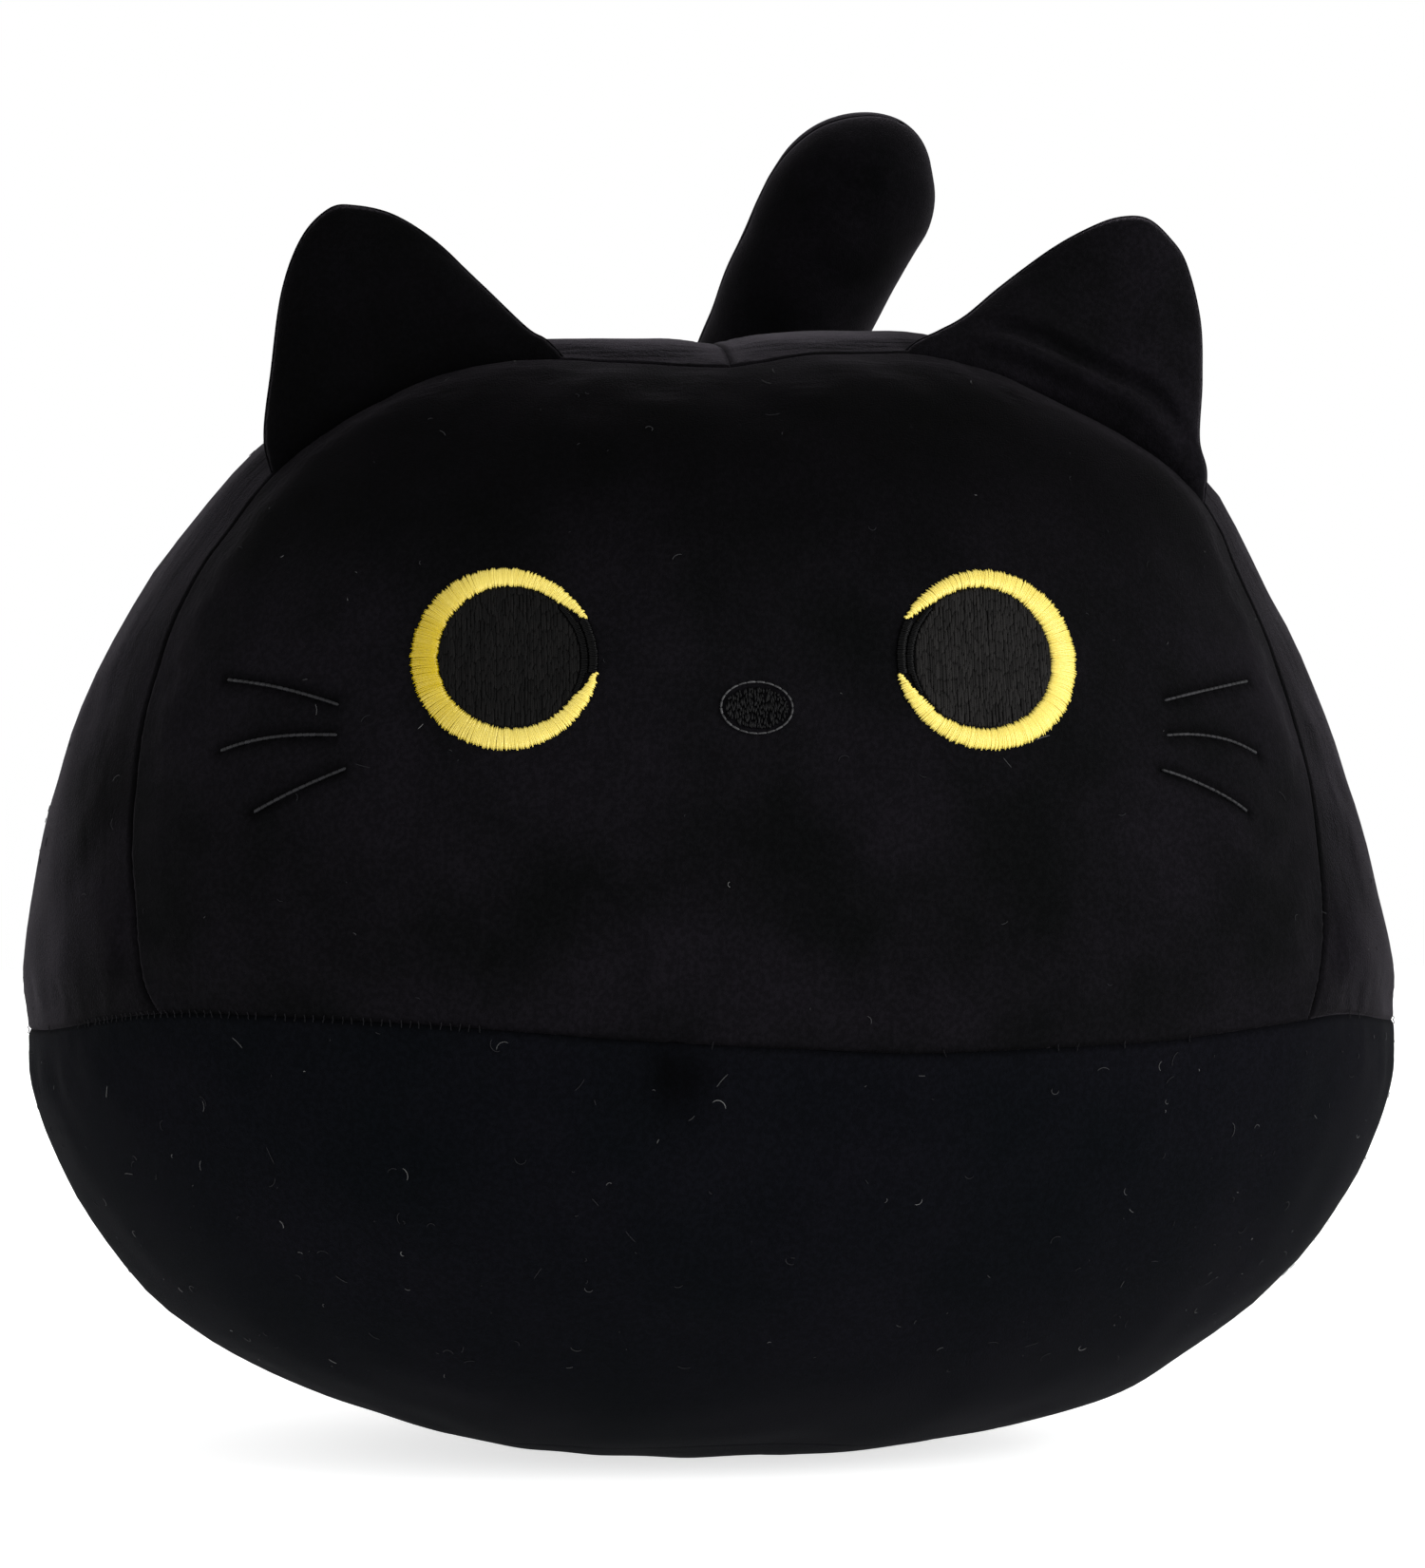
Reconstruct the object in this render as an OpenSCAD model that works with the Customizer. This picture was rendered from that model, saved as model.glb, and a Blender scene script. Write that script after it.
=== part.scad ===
// Sitting plush cat: a round stuffed body with two ears, an embroidered face and a raised tail.
// +X is to the right as the face is seen, the face looks along -Y, +Z is up.
// The origin is the middle of the flat patch that the cat rests on.

/* [Body] */
// Width of the body at the waist seam
body_w = 400; // [320:10:480]
// Depth of the body over its width
body_depth_ratio = 0.78; // [0.7:0.02:0.9]
// Height of the top of the head
body_h = 322; // [290:2:350]
// Height of the waist seam, where the body is widest
waist_h = 121; // [105:1:135]
// How square the body looks from above, 2 is an ellipse
ring_power = 2.2; // [2:0.1:3]
// Thickness of the sewn fabric
cloth_t = 2; // [1.5:0.1:2.5]

/* [Face] */
// Distance of each eye from the middle of the face
eye_x = 65.5; // [58:0.5:74]
// Height of the eyes and of the nose
eye_z = 226; // [215:1:235]
nose_z = 213; // [204:1:218]
// Outer and inner radius of the embroidered crescents
eye_outer_r = 25; // [22:0.5:28]
eye_inner_r = 19.6; // [17:0.2:20]
// Half width and half height of the nose
nose_half_w = 10.2; // [8:0.2:13]
nose_half_h = 7.5; // [5:0.1:9]

/* [Ears] */
// Half width of an ear along its base
ear_half_w = 41; // [34:1:44]
// Height of an ear above its base line
ear_h = 57; // [45:1:65]
// Half thickness of a stuffed ear
ear_half_t = 8; // [6:0.5:9]
// Slope of the base line, in degrees
ear_slope = 25.7; // [20:0.1:30]
// Middle of the base line
ear_base = [96, -50, 305.5];

/* [Tail] */
// Radius of the stuffed tail
tail_r = 25.5; // [20:0.5:27]
// Place of the bend in the tail, as a share of its length
tail_bend_at = 0.66; // [0.6:0.01:0.7]

/* [Hidden] */

half_w = body_w / 2;
half_d = half_w * body_depth_ratio;

// Profile of the body above and below the waist seam
dome_power = 1.7;
crown_power = 3.2;
bowl_power = 1.8;
bowl_side_power = 2.6;
// The bowl is this much deeper than the waist is high, and the excess is cut off flat
rest_cut = 0.8;
bowl_h = waist_h + rest_cut;

// Face seam, as Bezier points in the flattened dome: the top of the head is at [0, 0] and
// the waist seam is the circle of radius 90
seam_corner = 50;
seam_points = [[0, -28], [30, -14], [62, -10], 90 * [sin(seam_corner), -cos(seam_corner)]];
// How far each of these points moves for a panel edge that stands back from the seam
seam_normals = [[0, 1], [0.2, 1], [0.8, 0.6], [cos(seam_corner), sin(seam_corner)]];
seam_gap = 0.08;
// Share of the seam, from the top of the head, that forms the top edge of the face panel's grid,
// and the place on the centre seam where the top edge of a side panel's grid ends
seam_split = 0.5;
crown_split = 25;

// Drop angles of the base seam and of the bowl panels' edges
base_seam_drop = 70;
bowl_edge_gap = 0.12;

// Layers under the fabric: threads, embroidery backing and stuffing
thread_inset = cloth_t + 0.75;
thread_r = 0.35;
backing_inset = cloth_t + 0.5;
backing_t = 0.5;
backing_margin = 4;
stuffing_inset = cloth_t + 1.8;

// Layers on the fabric
stitch_lift = 0.15;
stitch_t = 0.9;
whisker_r = 0.45;
closing_r = 0.45;
closing_count = 14;
closing_len = 5;
closing_lift = 0.2;
// Turns from the front, in degrees: the first closing stitch, the step to the next and the label
closing_from = 196;
closing_step = 1.7;
label_from = 149;
label_to = 158;
// The label hangs between these drop angles below the waist seam
label_top = 1;
label_bottom = 16;
label_t = 0.5;
label_lift = 0.3;

// Middle of the eye's opening, on the side of the nose
eye_inner_shift = [1.8, 0.5];
opening_from = -10;
opening_to = 27;
// The pupil keeps clear of the bar within this angle of the nose side
bar_clear_angle = 40;
pupil_gap = 0.3;
bar_inner_r = 20.6;
bar_outer_r = 24.8;
nose_fill_margin = 1.8;
nose_line_w = 1.2;

// Shape of an ear's sides and of its rounded tip
ear_side_power = 1.15;
ear_tip_power = 0.6;
ear_seam_gap = 0.15;
// Height of an ear's thickest place, as a share of its height
ear_bulge_at = 0.38;
ear_cloth_margin = 1.5;
ear_stuffing_margin = 3;
ear_stuffing_gap = 1;

// Tail path, as Bezier points
tail_points = [[0, 158, 170], [0, 206, 172], [10, 185, 270], [59.5, 139, 379.5]];
tail_panel_gap = 0.5;
// Share of the path where the fabric starts, just inside the body's seam
tail_cloth_from = 0.02;
tail_stuffing_gap = 1;
// Share of the tail's length left open in its fabric and in its stuffing on each side of the bend
bend_gap_cloth = 0.024;
bend_gap_stuffing = 0.008;

black = [0.06, 0.055, 0.065];
belly_black = [0.06, 0.065, 0.085];
thread_black = [0.02, 0.02, 0.025];
fibre_white = [0.9, 0.9, 0.88];
yellow = [0.95, 0.85, 0.2];
charcoal = [0.16, 0.16, 0.17];

// ---- points on the body ----

function signed_power(v, p) = sign(v) * pow(abs(v), p);

function ring_xy(rx, ry, turn) =
    [rx * signed_power(sin(turn), 2 / ring_power), -ry * signed_power(cos(turn), 2 / ring_power)];

// A point of the dome from its place in the flattened dome
function dome_point(flat, inset) =
    let (spread = sin(min(norm(flat), 90)),
         rise = pow(max(0, 1 - pow(spread, crown_power)), 1 / dome_power),
         xy = ring_xy((half_w - inset) * spread, (half_d - inset) * spread, atan2(flat[0], -flat[1])))
    [xy[0], xy[1], waist_h + (body_h - inset - waist_h) * rise];

// A point of the bowl from its drop angle below the waist and its turn from the front
function bowl_point(drop, turn, inset) =
    let (spread = pow(max(0, cos(drop)), 2 / bowl_side_power),
         fall = pow(sin(drop), 2 / bowl_power),
         xy = ring_xy((half_w - inset) * spread, (half_d - inset) * spread, turn))
    [xy[0], xy[1], waist_h - (bowl_h - inset) * fall];

// A point of the face above or below the waist from its place in the front view
function face_point(x, z, inset) =
    let (rise = (z - waist_h) / (body_h - inset - waist_h),
         spread = pow(1 - pow(rise, dome_power), 1 / crown_power),
         side = pow(abs(x) / ((half_w - inset) * spread), ring_power))
    [x, -(half_d - inset) * spread * pow(1 - side, 1 / ring_power), z];

// ---- curves ----

function bezier(p, t) =
    pow(1 - t, 3) * p[0] + 3 * pow(1 - t, 2) * t * p[1] + 3 * (1 - t) * t * t * p[2] + pow(t, 3) * p[3];

function bezier_slope(p, t) =
    3 * (pow(1 - t, 2) * (p[1] - p[0]) + 2 * (1 - t) * t * (p[2] - p[1]) + t * t * (p[3] - p[2]));

function unit(v) = v / norm(v);

// Rings of a round thread that follows a path
function thread_rings(path, r, reference, closed, sides = 6) =
    [for (i = [0:len(path) - 1])
        let (last = len(path) - 1,
             before = closed ? path[(i + last) % (last + 1)] : path[max(i - 1, 0)],
             after = closed ? path[(i + 1) % (last + 1)] : path[min(i + 1, last)],
             along = unit(after - before),
             side = unit(cross(along, reference)),
             up = cross(side, along))
        [for (k = [0:sides - 1]) path[i] + r * (cos(360 * k / sides) * side + sin(360 * k / sides) * up)]];

// ---- closed meshes ----

function flipped(faces) = [for (f = faces) [f[2], f[1], f[0]]];

// Triangles of a grid whose rows go down and columns go right as its outside is seen
function grid_faces(rows, cols, wrap = false) =
    [for (r = [0:rows - 2], c = [0:cols - (wrap ? 1 : 2)], k = [0, 1])
        let (a = r * cols + c, b = r * cols + (c + 1) % cols)
        k == 0 ? [a, b, b + cols] : [a, b + cols, a + cols]];

// A curved sheet between an outer and an inner grid of points
module slab(outer, inner) {
    rows = len(outer);
    cols = len(outer[0]);
    n = rows * cols;
    rim = concat([for (c = [0:cols - 1]) c], [for (r = [1:rows - 1]) r * cols + cols - 1],
        [for (c = [cols - 2:-1:0]) (rows - 1) * cols + c], [for (r = [rows - 2:-1:1]) r * cols]);
    walls = [for (i = [0:len(rim) - 1], k = [0, 1])
        let (a = rim[i], b = rim[(i + 1) % len(rim)])
        k == 0 ? [a, a + n, b + n] : [a, b + n, b]];
    faces = grid_faces(rows, cols);
    inner_faces = [for (f = flipped(faces)) f + [n, n, n]];
    polyhedron([for (row = concat(outer, inner)) each row], concat(faces, inner_faces, walls));
}

// Triangles from a middle point to a ring that starts at a given index
function fan_faces(middle, start, cols) =
    [for (c = [0:cols - 1]) [middle, start + (c + 1) % cols, start + c]];

function ring_middle(ring) = [for (i = [0:len(ring) - 1]) 1] * ring / len(ring);

// A round sheet between outer and inner rings, each list starting with the ring at the middle
module disc_slab(outer, inner) {
    rows = len(outer);
    cols = len(outer[0]);
    n = rows * cols;
    walls = [for (c = [0:cols - 1], k = [0, 1])
        let (a = n - cols + c, b = n - cols + (c + 1) % cols)
        k == 0 ? [a, b, b + n] : [a, b + n, a + n]];
    faces = grid_faces(rows, cols, true);
    inner_faces = [for (f = flipped(faces)) f + [n, n, n]];
    caps = concat(fan_faces(2 * n, 0, cols), flipped(fan_faces(2 * n + 1, n, cols)));
    middles = [ring_middle(outer[0]), ring_middle(inner[0])];
    polyhedron(concat([for (row = concat(outer, inner)) each row], middles),
        concat(faces, inner_faces, walls, caps));
}

// A solid through a list of rings, closed by a fan at both ends or joined into a loop
module ring_solid(rings, closed = false) {
    rows = len(rings);
    cols = len(rings[0]);
    n = rows * cols;
    faces = [for (r = [0:rows - (closed ? 1 : 2)], c = [0:cols - 1], k = [0, 1])
        let (a = r * cols + c, b = r * cols + (c + 1) % cols,
             d = ((r + 1) % rows) * cols + c, e = ((r + 1) % rows) * cols + (c + 1) % cols)
        k == 0 ? [a, b, e] : [a, e, d]];
    ends = closed ? [] : [ring_middle(rings[0]), ring_middle(rings[rows - 1])];
    caps = closed ? [] : concat(fan_faces(n, 0, cols), flipped(fan_faces(n + 1, n - cols, cols)));
    polyhedron(concat([for (ring = rings) each ring], ends), concat(faces, caps));
}

// ---- body panels ----

function seam_flat(t, back) = bezier([for (i = [0:3]) seam_points[i] + back * seam_normals[i]], t);

// A point inside four joined edges of the flattened dome, from its share across and its share down
function inside_edges(top, bottom, left, right, ends, u, v) =
    (1 - v) * top + v * bottom + (1 - u) * left + u * right
    - (1 - v) * ((1 - u) * ends[0] + u * ends[1]) - v * ((1 - u) * ends[2] + u * ends[3]);

function waist_flat(turn) = 90 * [sin(turn), -cos(turn)];

function edge_turn(back) = seam_corner + back * 180 / (PI * 90);

// Signed place on the face seam: -1 is the left end, 0 the top of the head and 1 the right end
function face_seam_flat(t, back) = let (p = seam_flat(abs(t), back)) [t < 0 ? -p[0] : p[0], p[1]];

function face_grid(inset, rows, cols) =
    let (back = -seam_gap, edge = edge_turn(back),
         ends = [face_seam_flat(-seam_split, back), face_seam_flat(seam_split, back),
                 face_seam_flat(-1, back), face_seam_flat(1, back)])
    [for (r = [0:rows]) [for (c = [0:cols])
        let (u = c / cols, v = r / rows, down = seam_split + (1 - seam_split) * v)
        dome_point(inside_edges(face_seam_flat((2 * u - 1) * seam_split, back),
            waist_flat(-edge + 2 * edge * u), face_seam_flat(-down, back),
            face_seam_flat(down, back), ends, u, v), inset)]];

function side_grid(inset, rows, cols) =
    let (from = edge_turn(seam_gap), to = 180 - seam_gap, middle = [seam_gap, 0],
         front = seam_flat(0, seam_gap) + middle, back = middle + [0, crown_split],
         ends = [front, back, seam_flat(1, seam_gap), waist_flat(to)])
    [for (r = [0:rows]) [for (c = [0:cols])
        let (u = c / cols, v = r / rows)
        dome_point(inside_edges(front + (back - front) * u, waist_flat(from + (to - from) * u),
            seam_flat(v, seam_gap) + (1 - v) * middle, back + (ends[3] - back) * v, ends, u, v), inset)]];

module face_shape() { slab(face_grid(0, 18, 26), face_grid(cloth_t, 18, 26)); }
module right_side_shape() { slab(side_grid(0, 18, 20), side_grid(cloth_t, 18, 20)); }

module bowl_half(turn_from, turn_to) {
    rows = 8;
    cols = 22;
    function bowl_grid(inset) =
        [for (r = [0:rows]) [for (c = [0:cols])
            bowl_point(bowl_edge_gap + (base_seam_drop - 2 * bowl_edge_gap) * r / rows,
                turn_from + (turn_to - turn_from) * c / cols, inset)]];
    slab(bowl_grid(0), bowl_grid(cloth_t));
}

module base_shape() {
    cols = 40;
    drops = [90, 86, 82, 78, 74, base_seam_drop];
    function base_rings(inset) =
        [for (drop = drops) [for (c = [0:cols - 1])
            bowl_point(min(drop, 89.9) + bowl_edge_gap, -360 * c / cols, inset)]];
    difference() {
        disc_slab(base_rings(0), base_rings(cloth_t));
        translate([-half_w, -half_w, -10]) cube([body_w, body_w, 10]);
    }
}

module stuffing_shape() {
    cols = 36;
    lower = [for (drop = [84:-12:12])
        [for (c = [0:cols - 1]) bowl_point(drop, -360 * c / cols, stuffing_inset)]];
    upper = [for (polar = [90:-9:9])
        [for (c = [0:cols - 1])
            dome_point(polar * [sin(-360 * c / cols), -cos(360 * c / cols)], stuffing_inset)]];
    ring_solid(concat(lower, upper));
}

module face_panel() { color(black) face_shape(); }
module right_side_panel() { color(black) right_side_shape(); }
module left_side_panel() { color(black) mirror([1, 0, 0]) right_side_shape(); }
module belly_panel() { color(belly_black) bowl_half(-90 + bowl_edge_gap, 90 - bowl_edge_gap); }
module rump_panel() { color(belly_black) bowl_half(90 + bowl_edge_gap, 270 - bowl_edge_gap); }
module base_panel() { color(belly_black) base_shape(); }
module body_stuffing() { color(fibre_white) stuffing_shape(); }

// ---- seams ----

module face_seam_thread() {
    steps = 24;
    path = [for (i = [-steps:steps])
        let (flat = seam_flat(abs(i) / steps * 0.985, 0))
        dome_point([sign(i) * flat[0], flat[1]], thread_inset)];
    color(thread_black) ring_solid(thread_rings(path, thread_r, [0, 1, 0], false));
}

module centre_seam_thread() {
    path = [for (polar = [-25:5:85]) dome_point([0, polar], thread_inset)];
    color(thread_black) ring_solid(thread_rings(path, thread_r, [1, 0, 0], false));
}

module waist_seam_thread() {
    path = [for (turn = [0:6:354]) bowl_point(0, turn, thread_inset)];
    color(thread_black) ring_solid(thread_rings(path, thread_r, [0, 0, 1], true), true);
}

module base_seam_thread() {
    path = [for (turn = [0:9:351]) bowl_point(base_seam_drop, turn, thread_inset)];
    color(thread_black) ring_solid(thread_rings(path, thread_r, [0, 0, 1], true), true);
}

module flank_seam_threads() {
    path = [for (drop = [3:5:68]) bowl_point(drop, 90, thread_inset)];
    color(thread_black) {
        ring_solid(thread_rings(path, thread_r, [0, 1, 0], false));
        mirror([1, 0, 0]) ring_solid(thread_rings(path, thread_r, [0, 1, 0], false));
    }
}

// Ladder stitches that close the filling opening in the waist seam at the back
module closing_stitches() {
    color(thread_black)
        for (i = [0:closing_count - 1])
            translate(bowl_point(0, closing_from + closing_step * i, -closing_r - closing_lift))
                cylinder(h = closing_len, r = closing_r, center = true, $fn = 16);
}

// Blank care label, folded over and caught in the waist seam at the back
module care_label() {
    rows = 6;
    cols = 6;
    function label_grid(inset) =
        [for (r = [0:rows]) [for (c = [0:cols])
            bowl_point(label_top + (label_bottom - label_top) * r / rows,
                label_from + (label_to - label_from) * c / cols, inset)]];
    color(fibre_white) slab(label_grid(-label_lift - label_t), label_grid(-label_lift));
}

// ---- embroidered face ----

// Distance from the eye's centre to the inner edge of its crescent
function eye_inner_edge(angle) =
    let (along = eye_inner_shift * [cos(angle), sin(angle)])
    along + sqrt(pow(eye_inner_r, 2) - eye_inner_shift * eye_inner_shift + along * along);

function eye_point(r, angle, inset) =
    face_point(-eye_x + r * cos(angle), eye_z + r * sin(angle), inset);

module eye_band(angle_from, angle_to, steps, inner_edge, outer_edge) {
    function band_grid(inset) =
        [for (v = [0, 0.5, 1]) [for (i = [0:steps])
            let (angle = angle_from + (angle_to - angle_from) * i / steps,
                 near = inner_edge > 0 ? inner_edge : eye_inner_edge(angle))
            eye_point(near + (outer_edge - near) * v, angle, inset)]];
    slab(band_grid(-stitch_lift - stitch_t), band_grid(-stitch_lift));
}

module left_crescent_shape() { eye_band(opening_to, 360 + opening_from, 48, 0, eye_outer_r); }
module left_bar_shape() { eye_band(opening_from + 1, opening_to - 1, 6, bar_inner_r, bar_outer_r); }

module left_pupil_shape() {
    function edge(angle) =
        let (limit = eye_inner_edge(angle) - pupil_gap, turn = angle > 180 ? angle - 360 : angle)
        abs(turn) < bar_clear_angle ? min(limit, bar_inner_r - pupil_gap) : limit;
    function pupil_rings(inset) =
        [for (share = [0.1, 0.4, 0.7, 1])
            [for (angle = [0:10:350]) eye_point(share * edge(angle), angle, inset)]];
    disc_slab(pupil_rings(-stitch_lift - stitch_t / 2), pupil_rings(-stitch_lift));
}

// An oval patch on the face
function oval_ring(cx, cz, rx, rz, inset) =
    [for (angle = [0:15:345]) face_point(cx + rx * cos(angle), cz + rz * sin(angle), inset)];

module oval_patch(cx, cz, rx, rz, inset, t) {
    function rings(at) = [for (share = [0.2, 0.6, 1]) oval_ring(cx, cz, share * rx, share * rz, at)];
    disc_slab(rings(inset - t), rings(inset));
}

module left_backing_shape() {
    oval_patch(-eye_x, eye_z, eye_outer_r + backing_margin, eye_outer_r + backing_margin,
        backing_inset + backing_t, backing_t);
}

module left_eye_crescent() { color(yellow) left_crescent_shape(); }
module left_eye_pupil() { color(charcoal) left_pupil_shape(); }
module left_eye_bar() { color(thread_black) left_bar_shape(); }
module left_eye_backing() { color(fibre_white) left_backing_shape(); }
module right_eye_crescent() { color(yellow) mirror([1, 0, 0]) left_crescent_shape(); }
module right_eye_pupil() { color(charcoal) mirror([1, 0, 0]) left_pupil_shape(); }
module right_eye_bar() { color(thread_black) mirror([1, 0, 0]) left_bar_shape(); }
module right_eye_backing() { color(fibre_white) mirror([1, 0, 0]) left_backing_shape(); }

module nose_fill() {
    color(thread_black)
        oval_patch(0, nose_z, nose_half_w - nose_fill_margin, nose_half_h - nose_fill_margin,
            -stitch_lift, stitch_t);
}

module nose_outline() {
    low = -stitch_lift;
    high = -stitch_lift - stitch_t;
    outer_low = oval_ring(0, nose_z, nose_half_w, nose_half_h, low);
    outer_high = oval_ring(0, nose_z, nose_half_w, nose_half_h, high);
    inner_low = oval_ring(0, nose_z, nose_half_w - nose_line_w, nose_half_h - nose_line_w, low);
    inner_high = oval_ring(0, nose_z, nose_half_w - nose_line_w, nose_half_h - nose_line_w, high);
    rings = [for (i = [0:len(outer_low) - 1]) [outer_low[i], outer_high[i], inner_high[i], inner_low[i]]];
    color(charcoal) ring_solid(rings, true);
}

module nose_backing() {
    color(fibre_white)
        oval_patch(0, nose_z, nose_half_w + backing_margin, nose_half_h + backing_margin,
            backing_inset + backing_t, backing_t);
}

// A whisker: one surface thread through three places in the front view
module whisker(places) {
    path = [for (t = [0:0.125:1])
        let (p = pow(1 - t, 2) * places[0] + 2 * (1 - t) * t * places[1] + t * t * places[2])
        face_point(p[0], p[1], -whisker_r - stitch_lift)];
    color(thread_black) ring_solid(thread_rings(path, whisker_r, [0, 0, 1], false));
}

upper_whisker = [[141, 221], [127, 220], [113, 215]];
middle_whisker = [[142, 201], [131, 206], [113, 206]];
lower_whisker = [[136, 185], [125, 192], [111, 197]];

module left_whisker_upper() { mirror([1, 0, 0]) whisker(upper_whisker); }
module left_whisker_middle() { mirror([1, 0, 0]) whisker(middle_whisker); }
module left_whisker_lower() { mirror([1, 0, 0]) whisker(lower_whisker); }
module right_whisker_upper() { whisker(upper_whisker); }
module right_whisker_middle() { whisker(middle_whisker); }
module right_whisker_lower() { whisker(lower_whisker); }

// ---- ears ----

// Outline of an ear, from the outer end of its base over the tip and back along the base
function ear_outline(margin) =
    let (w = ear_half_w - margin, h = ear_h - margin,
         shares = [0, 0.13, 0.26, 0.39, 0.52, 0.64, 0.75, 0.84, 0.91, 0.96, 0.99],
         up = [for (s = shares) [w * pow(1 - pow(s, ear_side_power), ear_tip_power), h * s]])
    concat(up, [[0, h]], [for (i = [len(up) - 1:-1:0]) [-up[i][0], up[i][1]]],
        [for (s = [-0.75:0.25:0.75]) [w * s, 0]]);

// One face of an ear, bulging towards -Y
function ear_rings(margin, depth, lift) =
    let (middle = [0, ear_bulge_at * ear_h], outline = ear_outline(margin))
    [for (share = [0.15, 0.4, 0.6, 0.78, 0.9, 1])
        [for (p = outline)
            let (q = middle + share * (p + [0, lift] - middle))
            [q[0], -depth * (1 - share * share) - ear_seam_gap, q[1]]]];

module place_ear(side) {
    translate([side * ear_base[0], ear_base[1], ear_base[2]]) rotate([0, side * ear_slope, 0]) children();
}

module ear_panel_shape() {
    outer = ear_rings(0, ear_half_t, 0);
    inner = ear_rings(ear_cloth_margin, ear_half_t - cloth_t, 1);
    disc_slab(outer, inner);
}

module ear_stuffing_shape() {
    front = ear_rings(ear_stuffing_margin, ear_half_t - cloth_t - ear_stuffing_gap, 2);
    rows = len(front);
    back = [for (i = [rows - 1:-1:0]) [for (p = front[i]) [p[0], -p[1], p[2]]]];
    ring_solid(concat(front, back));
}

module left_ear_front_panel() { color(black) place_ear(-1) ear_panel_shape(); }
module left_ear_back_panel() { color(black) place_ear(-1) mirror([0, 1, 0]) ear_panel_shape(); }
module left_ear_stuffing() { color(fibre_white) place_ear(-1) ear_stuffing_shape(); }
module right_ear_front_panel() { color(black) place_ear(1) ear_panel_shape(); }
module right_ear_back_panel() { color(black) place_ear(1) mirror([0, 1, 0]) ear_panel_shape(); }
module right_ear_stuffing() { color(fibre_white) place_ear(1) ear_stuffing_shape(); }

// ---- tail ----

// A station along the tail: its share of the path, the dome angle past it and the dome's depth
function tail_ring(station, inset, angles) =
    let (centre = bezier(tail_points, station[0]),
         along = unit(bezier_slope(tail_points, station[0])),
         side = unit([1, 0, 0] - along[0] * along),
         back = cross(along, side),
         r = (tail_r - inset) * cos(station[1]),
         mid = centre + along * (station[2] - inset) * sin(station[1]))
    [for (a = angles) mid + r * (cos(a) * side + sin(a) * back)];

// Stations of a dome that ends the tail, below or above its last ring
function dome_stations(share, depth, angles) = [for (a = angles) [share, a, depth]];

tip_angles = [15:15:75];
lower_cloth = [for (i = [0:12])
    let (to = tail_bend_at - bend_gap_cloth)
    [tail_cloth_from + (to - tail_cloth_from) * i / 12, 0, tail_r]];
upper_cloth = concat(
    [for (i = [0:8]) let (from = tail_bend_at + bend_gap_cloth) [from + (1 - from) * i / 8, 0, tail_r]],
    dome_stations(1, tail_r, tip_angles));

// Half of the tail's fabric tube between two angles around its path
module tail_panel(stations, angle_from) {
    angles = [for (i = [0:12]) angle_from + tail_panel_gap + (180 - 2 * tail_panel_gap) * i / 12];
    function rings(inset) =
        [for (i = [len(stations) - 1:-1:0]) tail_ring(stations[i], inset, angles)];
    slab(rings(0), rings(cloth_t));
}

module tail_fill(share_from, share_to, depth_from, depth_to) {
    inset = cloth_t + tail_stuffing_gap;
    angles = [for (i = [0:17]) -20 * i];
    stations = concat(
        dome_stations(share_from, depth_from, [-75:15:-15]),
        [for (i = [0:10]) [share_from + (share_to - share_from) * i / 10, 0, depth_to]],
        dome_stations(share_to, depth_to, [15:15:75]));
    ring_solid([for (s = stations) tail_ring(s, inset, angles)]);
}

// Depth of the stuffing's rounded ends at the root and on both sides of the bend
root_dome = 9;
bend_dome = 15;
root_share = 0.06;
bend_dome_share = 0.045;

module tail_lower_back_panel() { color(black) tail_panel(lower_cloth, 0); }
module tail_lower_front_panel() { color(black) tail_panel(lower_cloth, 180); }
module tail_lower_stuffing() {
    color(fibre_white)
        tail_fill(root_share, tail_bend_at - bend_gap_stuffing - bend_dome_share, root_dome, bend_dome);
}
module tail_upper_back_panel() { color(black) tail_panel(upper_cloth, 0); }
module tail_upper_front_panel() { color(black) tail_panel(upper_cloth, 180); }
module tail_upper_stuffing() {
    color(fibre_white)
        tail_fill(tail_bend_at + bend_gap_stuffing + bend_dome_share, 1, bend_dome, tail_r);
}

face_panel();
left_side_panel();
right_side_panel();
belly_panel();
rump_panel();
base_panel();
body_stuffing();
face_seam_thread();
centre_seam_thread();
waist_seam_thread();
base_seam_thread();
flank_seam_threads();
closing_stitches();
care_label();
left_eye_crescent();
left_eye_pupil();
left_eye_bar();
left_eye_backing();
right_eye_crescent();
right_eye_pupil();
right_eye_bar();
right_eye_backing();
nose_fill();
nose_outline();
nose_backing();
left_whisker_upper();
left_whisker_middle();
left_whisker_lower();
right_whisker_upper();
right_whisker_middle();
right_whisker_lower();
left_ear_front_panel();
left_ear_back_panel();
left_ear_stuffing();
right_ear_front_panel();
right_ear_back_panel();
right_ear_stuffing();
tail_lower_front_panel();
tail_lower_back_panel();
tail_lower_stuffing();
tail_upper_front_panel();
tail_upper_back_panel();
tail_upper_stuffing();
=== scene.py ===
"""Looks of the plush cat: velvet skin with sewn seams, embroidered face, soft ears and tail."""
import math

import bpy
import numpy as np
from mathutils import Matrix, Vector, noise
from mathutils.kdtree import KDTree


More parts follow.
